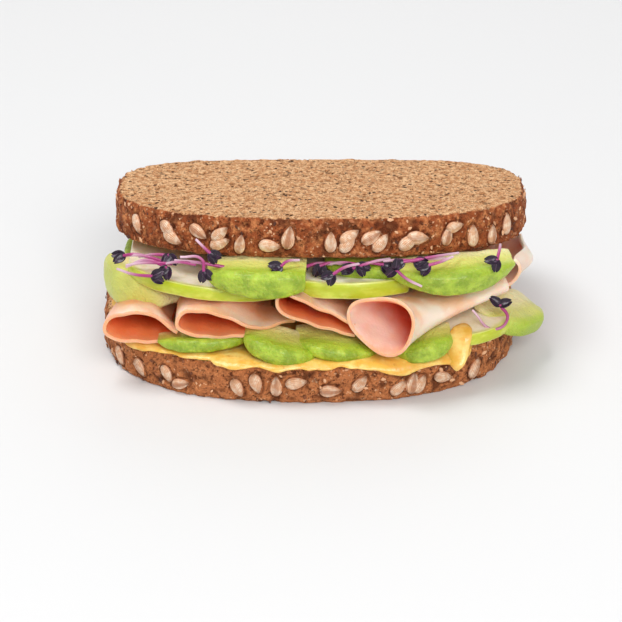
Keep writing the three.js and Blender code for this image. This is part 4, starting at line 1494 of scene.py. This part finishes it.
@dataclass
class AvocadoSlice:
    """One slice of avocado: a wedge whose round peeled side faces -Y before it is turned."""

    number: int
    place: Point
    turn: Point
    length: float
    height: float
    depth: float
    bend: float  # mm that both ends lie further back than the middle
    cut: tuple[float, float] = (-1, 1)  # where the slice ends at its left and right
    fullness: float = 2.6
    pale: float = 0.0  # how far the colour is shifted to that of the inner flesh

    def section(self, around: np.ndarray) -> tuple[np.ndarray, np.ndarray]:
        """Returns the cross-section.

        Args:
            around: Shares of the way round it.

        Returns:
            How far in from the peel and how far up each point lies, as shares of the size.
        """
        # Half the way round, and the section's place in and up at each step, as shares of its size.
        half = np.array([0, 0.16, 0.3, 0.42, 0.5, 0.54, 0.56, 0.9, 0.96, 1.0])
        inward = np.array([-0.98, -0.97, -0.94, -0.86, -0.75, -0.7, -0.67, 0.33, 0.4, 0.4])
        up = np.array([0, 0.4, 0.72, 0.93, 1.0, 1.01, 0.98, 0.62, 0.5, 0.0])
        share = 1 - np.abs(2 * around - 1)
        side = np.where(around < 0.5, 1.0, -1.0)
        return np.interp(share, half, inward), side * np.interp(share, half, up)

    def build(self, material: bpy.types.Material) -> None:
        """Builds and dresses the slice.

        Args:
            material: The avocado.
        """

        def place(along: np.ndarray, around: np.ndarray) -> np.ndarray:
            """Places the cross-sections from one end to the other.

            Args:
                along: Share of the way from the first ring to the last.
                around: Share of the way round a ring.

            Returns:
                The points in mm, one row each.
            """
            t = np.sin(mix(self.cut[0], self.cut[1], along) * math.pi / 2) * 0.985
            taper = (1 - np.abs(t) ** self.fullness) ** 0.55
            inward, up = self.section(around)
            y = self.depth * inward * mix(0.45, 1, taper) + self.bend * t * t
            return np.column_stack([self.length / 2 * t, y, self.height / 2 * up * taper])

        name = f"avocado_{self.number}"
        piece = loft(name + "_dressed", 56, 40, place)
        points = corners(piece) / MM
        inward = points[:, 1] - self.bend * (points[:, 0] / (self.length / 2)) ** 2
        record_values(piece, "inward", (inward / self.depth + 0.95) / 1.35 + self.pale)
        dents = 0.5 * lumps(points, 9, self.number) + 0.3 * lumps(points, 3.4, self.number + 4)
        set_corners(piece, points + facing(piece) * dents[:, None])
        move_mesh(piece, placement(self.place, self.turn))
        finish_piece(piece, material, (name,), crease=32.0)


@dataclass
class AppleSlice:
    """One round slice of apple, cut straight at its left, right and rear at shares of its radius."""

    number: int
    place: Point
    turn: Point
    radius: float
    thickness: float
    cut: Point
    slack: float = 0.06  # mm that each cut face stays inside the thickness

    def build(self, material: bpy.types.Material) -> None:
        """Builds and dresses the slice.

        Args:
            material: The apple.
        """
        # How far each ring lies inside the skin in mm, and its height as a share of the thickness.
        insets = np.array([22, 14, 8, 4, 2.4, 1.2, 0.5, 0.15, 0, 0, 0, 0.15, 0.5, 1.2, 2.4, 4, 8, 14, 22])
        insets = np.minimum(insets, self.radius * 0.85)
        levels = np.array([0, 0, 0, 0, 0, 0, 0, 0.3, 0.7, 1.0, 1.3, 1.7, 2, 2, 2, 2, 2, 2, 2]) / 2
        rings = len(insets)
        left, right, rear = self.cut

        def place(along: np.ndarray, around: np.ndarray) -> np.ndarray:
            """Places the rings, each cut off straight at its sides.

            Args:
                along: Share of the way from the first ring to the last.
                around: Share of the way round a ring.

            Returns:
                The points in mm, one row each.
            """
            ring = np.rint(along * (rings - 1)).astype(int)
            angle = around * 2 * math.pi
            reach = self.radius - insets[ring]
            x = np.clip(reach * np.cos(angle), left * reach, right * reach)
            y = np.minimum(reach * np.sin(angle), rear * reach)
            level = self.slack + levels[ring] * (self.thickness - 2 * self.slack)
            return np.column_stack([x, y, level])

        name = f"apple_{self.number}"
        piece = loft(name + "_dressed", 160, rings, place)
        points = corners(piece) / MM
        record_values(piece, "from_skin", self.radius - np.hypot(points[:, 0], points[:, 1]))
        dents = 0.25 * lumps(points, 8, self.number) + 0.08 * lumps(points, 2.5, self.number + 2)
        set_corners(piece, points + facing(piece) * dents[:, None])
        move_mesh(piece, placement(self.place, self.turn))
        finish_piece(piece, material, (name,), crease=55.0)


# ---- Sprouts ----


Shoot = tuple[list[Point], list[Point]]  # the places along its stem, and the way that each leaf points


@dataclass
class Sprout:
    """One radish sprout: a stem with two cupped seed leaves at its end, and shoots tangled with it."""

    number: int
    shoots: list[Shoot]
    radius: float = 0.5
    leaf_length: float = 4.5
    leaf_width: float = 3.2
    leaf_thickness: float = 0.35

    def stalk(self, stem: list[Point]) -> bpy.types.Object:
        """Builds a stem as a tapered tube through its points.

        Args:
            stem: The points in mm, from the root up.

        Returns:
            The stem as a mesh.
        """
        curve = bpy.data.curves.new("stem", "CURVE")
        curve.dimensions = "3D"
        curve.bevel_depth = self.radius * MM
        curve.bevel_resolution = 4
        curve.resolution_u = 10
        curve.use_fill_caps = True
        spline = curve.splines.new("BEZIER")
        spline.bezier_points.add(len(stem) - 1)
        for i, (knot, point) in enumerate(zip(spline.bezier_points, stem)):
            knot.co = Vector(point) * MM
            knot.handle_left_type = knot.handle_right_type = "AUTO"
            knot.radius = mix(0.8, 1.15, i / (len(stem) - 1))
        stalk = bpy.data.objects.new("stem", curve)
        bpy.context.collection.objects.link(stalk)
        choose(stalk)
        bpy.ops.object.convert(target="MESH")
        stalk = bpy.context.active_object
        points = corners(stalk) / MM
        ends = np.array(stem[0]), np.array(stem[-1])
        near, far = (np.linalg.norm(points - end, axis=1) for end in ends)
        record_values(stalk, "along", near / (near + far))
        record_values(stalk, "leaf", np.zeros(len(points)))
        record_values(stalk, "vein", np.zeros(len(points)))
        return stalk

    def leaf(self, root: Vector, direction: Point) -> bpy.types.Object:
        """Builds one seed leaf from the stem's end: broad, cupped and notched at its tip.

        Args:
            root: The stem's end in mm.
            direction: The way that the leaf points.

        Returns:
            The leaf.
        """
        along = Vector(direction).normalized()
        outward = Vector((0, -0.8 if root.y < 0 else 0.8, 0.5))
        across = along.cross(outward).normalized()
        face = across.cross(along)

        def place(side: np.ndarray, way: np.ndarray) -> np.ndarray:
            """Places the points of the leaf.

            Args:
                side: Share of the way across the leaf.
                way: Share of the way along it.

            Returns:
                The points in mm, one row each.
            """
            broad = np.sin(math.pi * np.clip(0.06 + 0.9 * way, 0, 1) ** 0.85) ** 0.62
            u = (2 * side - 1) * broad
            notch = 0.35 * bump(2 * side - 1, 0.35) * smooth((way - 0.7) / 0.3)
            reach = self.leaf_length * way * (1 - 0.12 * notch) - 0.4 - notch
            lift = 0.75 * u * u - 0.6 * way * way + 0.12 * np.sin(5 * way + 3 * u)
            spread = u * self.leaf_width / 2
            return (
                np.array(root)
                + reach[:, None] * np.array(along)
                + spread[:, None] * np.array(across)
                + lift[:, None] * np.array(face)
            )

        leaf = drape("leaf", 10, 12, place)
        unit = corners(leaf) / MM - np.array(root)
        record_values(leaf, "vein", bump(unit @ np.array(across), 0.22))
        record_values(leaf, "along", np.clip(unit @ np.array(along) / self.leaf_length, 0, 1))
        record_values(leaf, "leaf", np.ones(len(unit)))
        modify(leaf, "SOLIDIFY", thickness=self.leaf_thickness * MM, offset=0.0)
        modify(leaf, "SUBSURF", levels=1, render_levels=1)
        return leaf

    def build(self, material: bpy.types.Material) -> None:
        """Builds and dresses the sprout.

        Args:
            material: The sprouts.
        """
        name = f"sprout_{self.number}"
        parts = []
        for stem, leaves in self.shoots:
            tip = Vector(stem[-1])
            parts += [self.stalk(stem), *(self.leaf(tip, direction) for direction in leaves)]
        finish_piece(join(parts, name + "_dressed"), material, (name,), crease=60.0)


# ---- The sandwich ----

# Each kernel's place along the slice and height in mm, and its turn in degrees.
LOWER_FRONT_KERNELS = [
    (-62, 4.2, -60), (-55, 4.6, -50), (-46, 6.0, -60), (-41.5, 3.6, 15), (-23, 5.0, -65), (-17, 7.6, -75),
    (-10.5, 6.4, 90), (-4, 7.6, 10), (7, 4.7, 0), (16.5, 7.0, 50), (29, 3.4, 40), (33.5, 5.6, 80),
    (36, 3.4, 60), (43.5, 5.6, -15), (54, 5.2, 60),
]
UPPER_FRONT_KERNELS = [
    (-60, 6.5, -65), (-49.5, 9.4, -45), (-48, 4.0, -25), (-39.5, 7.4, -35), (-32.5, 9.0, 40),
    (-32.5, 4.2, 20), (-26, 3.0, 80), (-16.5, 4.0, -5), (-10.5, 8.4, 80), (3, 5.4, 88), (9, 9.4, 35),
    (16, 6.9, 30), (8.5, 3.2, 50), (19, 2.8, 50), (31, 6.0, -5), (28, 2.4, 35), (40.5, 5.9, 75),
    (43, 10.6, 10), (49, 5.0, 88), (55.5, 4.2, 85), (60.5, 6.5, 85),
]
LID_PLACE = placement((4, 11.8, 34.6), (-11.5, 0, 0))
SLICES = [
    BreadSlice("bottom", 11, LOWER_FRONT_KERNELS, painted_crust_light=0.65),
    BreadSlice("top", 47, UPPER_FRONT_KERNELS, SliceOutline(depth_share=0.985), LID_PLACE),
]
HAMS = [
    HamFold(
        name="ham_1", place=(-66, -43, 16.4), length=23.6, rear_length=19, depth=70, mouth=10.6, rear=2.6,
        bow=9, lip_close=(12, 28), rear_close=(13, 20), level=-0.6, swing=9,
    ),
    HamFold(
        name="ham_2", place=(-42.4, -47, 20.4), length=38, rear_length=30, depth=86, mouth=9.2, bow=8,
        lip_close=(9, 27), rear_close=(20, 29), level=-0.9, sweep=7, lower_share=0.86,
    ),
    HamFold(
        name="ham_3", place=(-10.2, -47.5, 28.8), length=25, rear_length=26, depth=86, mouth=7.8, bow=4,
        lip_close=(3, 36), rear_close=(16, 28), tilt=-0.33, level=-8.5,
    ),
    HamFold(
        name="ham_6", place=(64, 40, 20.3), length=34, rear_length=34, depth=48, mouth=3.6, rear=4.2, bow=4,
        lip_close=(10, 26), rear_close=(10, 26), level=0.5, turn=180,
    ),
    HamRoll(),
    HamCurl(),
]
AVOCADOS = [
    AvocadoSlice(1, (-14.9, -40, 41), (8, 0, -3), 35.8, 9.2, 12, 2, (-1, 0.58)),
    AvocadoSlice(2, (46.4, -36, 40.1), (10, 3, 14), 42, 8.8, 12, 4, fullness=1.6),
    AvocadoSlice(3, (22, -30, 40), (6, 3, 0), 34, 5.4, 11, 2),
    AvocadoSlice(4, (-55.5, -18.5, 27.4), (0, 8, -58), 34, 12.6, 11, 5, pale=0.45),
    AvocadoSlice(5, (-34, -40.5, 17.3), (0, -3, 0), 30, 4.4, 8.2, 2),
    AvocadoSlice(6, (-9, -44, 18.1), (10, 14, -6), 25, 7.2, 12, 2, (-1, 0.86)),
    AvocadoSlice(7, (9, -41.5, 17.2), (6, 8, 0), 27, 4.6, 12, 2),
    AvocadoSlice(8, (36.6, -41.8, 17.4), (6, -12, 6), 20, 5.8, 12, 2, (-1, 0.84)),
    AvocadoSlice(9, (65, -18, 17.6), (8, 24, 46), 27, 7, 13, 2, (-1, 0.9), pale=0.25),
    AvocadoSlice(10, (-52, 16, 22.6), (0, 0, -100), 31, 5, 11, 5),
    AvocadoSlice(11, (-26, 36, 27.1), (-9, 0, 180), 36, 4.4, 11, 3, (-1, 0.9)),
    AvocadoSlice(12, (38, 33, 27.4), (-9, 0, 172), 36, 4.6, 12, 4),
    AvocadoSlice(13, (-36, 35, 17.2), (0, 0, 186), 34, 4.2, 13, 4),
    AvocadoSlice(14, (6, 38, 17.2), (0, 0, 178), 34, 4.2, 13, 3, (-0.9, 1)),
]
APPLES = [
    AppleSlice(1, (-30.5, -10.5, 28.6), (-5, 5, 0), 33.5, 4.4, (-0.86, 0.62, 0.85)),
    AppleSlice(2, (12, -10, 30.4), (-4, 0, 0), 35.5, 5.4, (-0.56, 0.57, 0.2)),
    AppleSlice(3, (46, -22.5, 15.1), (0, 0, 0), 21.5, 4.3, (-1, 1, 0.9)),
    AppleSlice(4, (4, 22, 26.4), (-11, 0, 0), 20, 3.8, (-1, 1, 1)),
    AppleSlice(5, (44, 20, 15.1), (0, 0, 0), 20, 4, (-1, 1, 1)),
]
SPROUTS = [
    Sprout(1, [
        ([(-50, -29, 40), (-56, -31, 42.4), (-60, -29, 41)], [(-1, 0, 0.1), (-0.7, -0.5, -0.3)]),
        ([(-60, -28, 40.4), (-54, -33, 42.8), (-46, -36, 41.8)], []),
        ([(-59, -33, 39.4), (-53, -36, 41.6), (-44, -38.5, 42.4)], []),
        ([(-55, -30, 41), (-50, -33.5, 43.4), (-45, -35, 43.8)], [(0.6, -0.5, -0.5), (-0.4, -0.6, -0.4)]),
    ]),
    Sprout(2, [
        ([(-59, -33, 38.8), (-52, -36, 42.6), (-45.5, -38.5, 41)], [(0, -0.5, -1), (-0.9, -0.4, -0.6)]),
    ]),
    Sprout(3, [
        ([(-62, -32, 37.6), (-56, -38.5, 38.6), (-50, -41.5, 39.4)], [(0.9, -0.2, -0.5), (1, 0, 0.6)]),
    ]),
    Sprout(4, [
        ([(-41, -42, 46.4), (-34, -44.5, 46.6), (-33.5, -45.5, 43)], [(-0.2, -0.2, -1), (0.8, -0.2, -0.7)]),
        ([(-47, -37, 41.6), (-41, -42, 44.6), (-36, -42.5, 44)], []),
        ([(-43, -38, 43.4), (-36, -43, 45), (-27, -43.6, 43.6)], []),
    ]),
    Sprout(5, [
        ([(-36, -42, 52.6), (-33, -43.5, 50), (-31.4, -44, 48.6)], [(0.5, -0.2, -1), (0.9, 0, -0.3)]),
    ]),
    # Sprouts 6 and 7 fill the gap under the lid's front edge: partly real shoots, partly extra dark shoots
    # set there to stand in for painted shade in that gap.
    Sprout(6, [
        ([(-3, -43.5, 46), (-7, -46, 46.6), (-9, -47.5, 45.6)], [(-0.9, -0.1, 0.2), (-0.6, -0.5, -0.5)]),
        ([(8, -36, 41), (3, -38, 42.4), (-1, -38.5, 41.4)], [(-0.8, -0.2, -0.6), (-0.7, -0.2, 0.5)]),
        ([(12, -37, 41), (7, -38.5, 42.8), (3.5, -39, 42)], [(-0.5, -0.3, -0.9), (0.5, -0.3, -0.8)]),
    ]),
    Sprout(7, [
        ([(16, -42, 44), (11, -46, 44.4), (7.6, -48, 43)], [(-0.3, -0.2, -1), (-0.9, -0.1, -0.2)]),
        ([(6, -38, 42), (11, -41, 44), (16, -42, 43.6)], [(1, -0.2, -0.3), (0.4, -0.4, -0.8)]),
        ([(26, -38, 44), (21, -41.5, 44.6), (14, -42, 42.4)], [(-0.9, -0.2, -0.3), (-0.6, -0.4, 0.3)]),
        ([(14, -38, 42), (20, -40, 43.4), (24, -40.5, 43)], [(0.9, -0.2, -0.2), (0.5, -0.3, -0.8)]),
    ]),
    Sprout(8, [
        ([(36, -47.5, 38.6), (31, -48, 41.6), (27.6, -47, 44.4)], [(-0.7, 0, -0.6), (0.1, -0.2, 0.9)]),
        ([(24, -40, 44), (29, -43.5, 46), (34, -45.5, 46.4)], [(0.9, -0.2, 0.1), (0.7, -0.3, -0.6)]),
    ]),
    Sprout(9, [
        ([(46, -43, 47), (42, -46.5, 46.8), (38, -47.5, 46)], [(-1, 0, -0.3), (-0.5, -0.2, -0.8)]),
        ([(48, -38, 46), (41, -44, 47.6), (33, -46, 47)], []),
        ([(44, -40, 45), (37, -45, 47), (30, -46.5, 46.8)], [(-0.8, -0.3, -0.5)]),
    ]),
    Sprout(10, [
        ([(61.5, -35, 47.6), (61, -40, 48.2), (60, -43.4, 45.8)], [(-0.1, -0.2, -1), (-1, -0.1, 0.1)]),
    ]),
    Sprout(11, [
        (
            [(53, -35.5, 24.6), (60, -37.5, 18.6), (64.5, -36, 21.6), (62, -34.5, 26)],
            [(-0.7, 0, 0.6), (0.8, 0, 0.3)],
        ),
    ]),
    Sprout(12, [
        ([(-38, 50, 28.4), (-34, 52.5, 27.4), (-30, 53.5, 26)], [(0.4, 0.3, -1), (-0.8, 0.3, -0.5)]),
    ]),
    Sprout(13, [([(14, 49.5, 27.6), (18, 52, 27.4), (22, 53, 26)], [(0.7, 0.2, -0.8), (-0.5, 0.3, -1)])]),
]


# ---- Light, floor and camera ----


@dataclass(frozen=True)
class SoftLight:
    """A square light that looks at the middle of the sandwich."""

    name: str
    place: Point
    size: float  # in metres
    power: float  # in watts
    aim: Point = (0, 0, 25)

    def build(self) -> None:
        """Adds the light."""
        light = bpy.data.lights.new(self.name, "AREA")
        light.size = self.size
        light.energy = self.power
        lamp = bpy.data.objects.new(self.name, light)
        lamp.location = Vector(self.place) * MM
        lamp.rotation_euler = (Vector(self.aim) * MM - lamp.location).to_track_quat("-Z", "Y").to_euler()
        bpy.context.collection.objects.link(lamp)


@dataclass
class Studio:
    """A plain pale floor, soft light from above and in front, and the camera."""

    elevation: float = 25.5
    distance: float = 1000.0
    target: Point = (0.7, 0, 7.25)
    lens: float = 171.3  # gives 2960 pixels of focal length over a 622 pixel picture
    floor_size: float = 6.0
    sky: float = 0.4
    sky_tone: str = "#FBFBFC"
    lights: tuple[SoftLight, ...] = (
        SoftLight("key_light", (-500, 0, 1500), 0.7, 13.5),
        SoftLight("front_light", (350, -1500, 1050), 0.8, 21.0),
        SoftLight("rear_light", (300, 1300, 900), 1.0, 4.0),
    )

    def build(self, ground: bpy.types.Material) -> None:
        """Builds the floor, the lights and the camera.

        Args:
            ground: The floor's material.
        """
        deselect()
        bpy.ops.mesh.primitive_plane_add(size=self.floor_size)
        floor = bpy.context.active_object
        floor.name = "floor"
        floor.data.materials.append(ground)
        for light in self.lights:
            light.build()
        world = bpy.data.worlds.new("Soft room")
        bpy.context.scene.world = world
        world.use_nodes = True
        shade = world.node_tree.nodes["Background"]
        shade.inputs["Color"].default_value = linear(self.sky_tone)
        shade.inputs["Strength"].default_value = self.sky
        self.camera()

    def camera(self) -> None:
        """Adds the camera in front of the sandwich, looking a little down."""
        rise = math.radians(self.elevation)
        back = Vector((0, -math.cos(rise), math.sin(rise)))
        lens = bpy.data.cameras.new("camera")
        lens.lens = self.lens
        lens.sensor_width = 36.0
        lens.clip_start, lens.clip_end = 0.05, 20.0
        camera = bpy.data.objects.new("camera", lens)
        camera.location = (Vector(self.target) + back * self.distance) * MM
        camera.rotation_euler = Euler((math.pi / 2 - rise, 0, 0))
        bpy.context.collection.objects.link(camera)
        bpy.context.scene.camera = camera


def main() -> None:
    """Builds the studio and every piece of the sandwich."""
    logging.basicConfig(level=logging.INFO, format="%(name)s: %(message)s")
    bpy.context.scene.view_settings.view_transform = "Standard"
    Studio().build(Ground().material())
    bread, kernel, bran = Wholegrain().material(), Kernel().material(), Bran().material()
    for bread_slice in SLICES:
        bread_slice.build(bread, kernel, bran)
    Sauce().build(Mustard().material())
    filling = {
        "ham": (HAMS, CookedHam().material()),
        "avocado": (AVOCADOS, AvocadoFlesh().material()),
        "apple": (APPLES, GreenApple().material()),
        "sprout": (SPROUTS, RadishSprout().material()),
    }
    for kind, (pieces, material) in filling.items():
        for piece in pieces:
            piece.build(material)
        log.info("%s: %d pieces", kind, len(pieces))


if __name__ == "__main__":
    main()
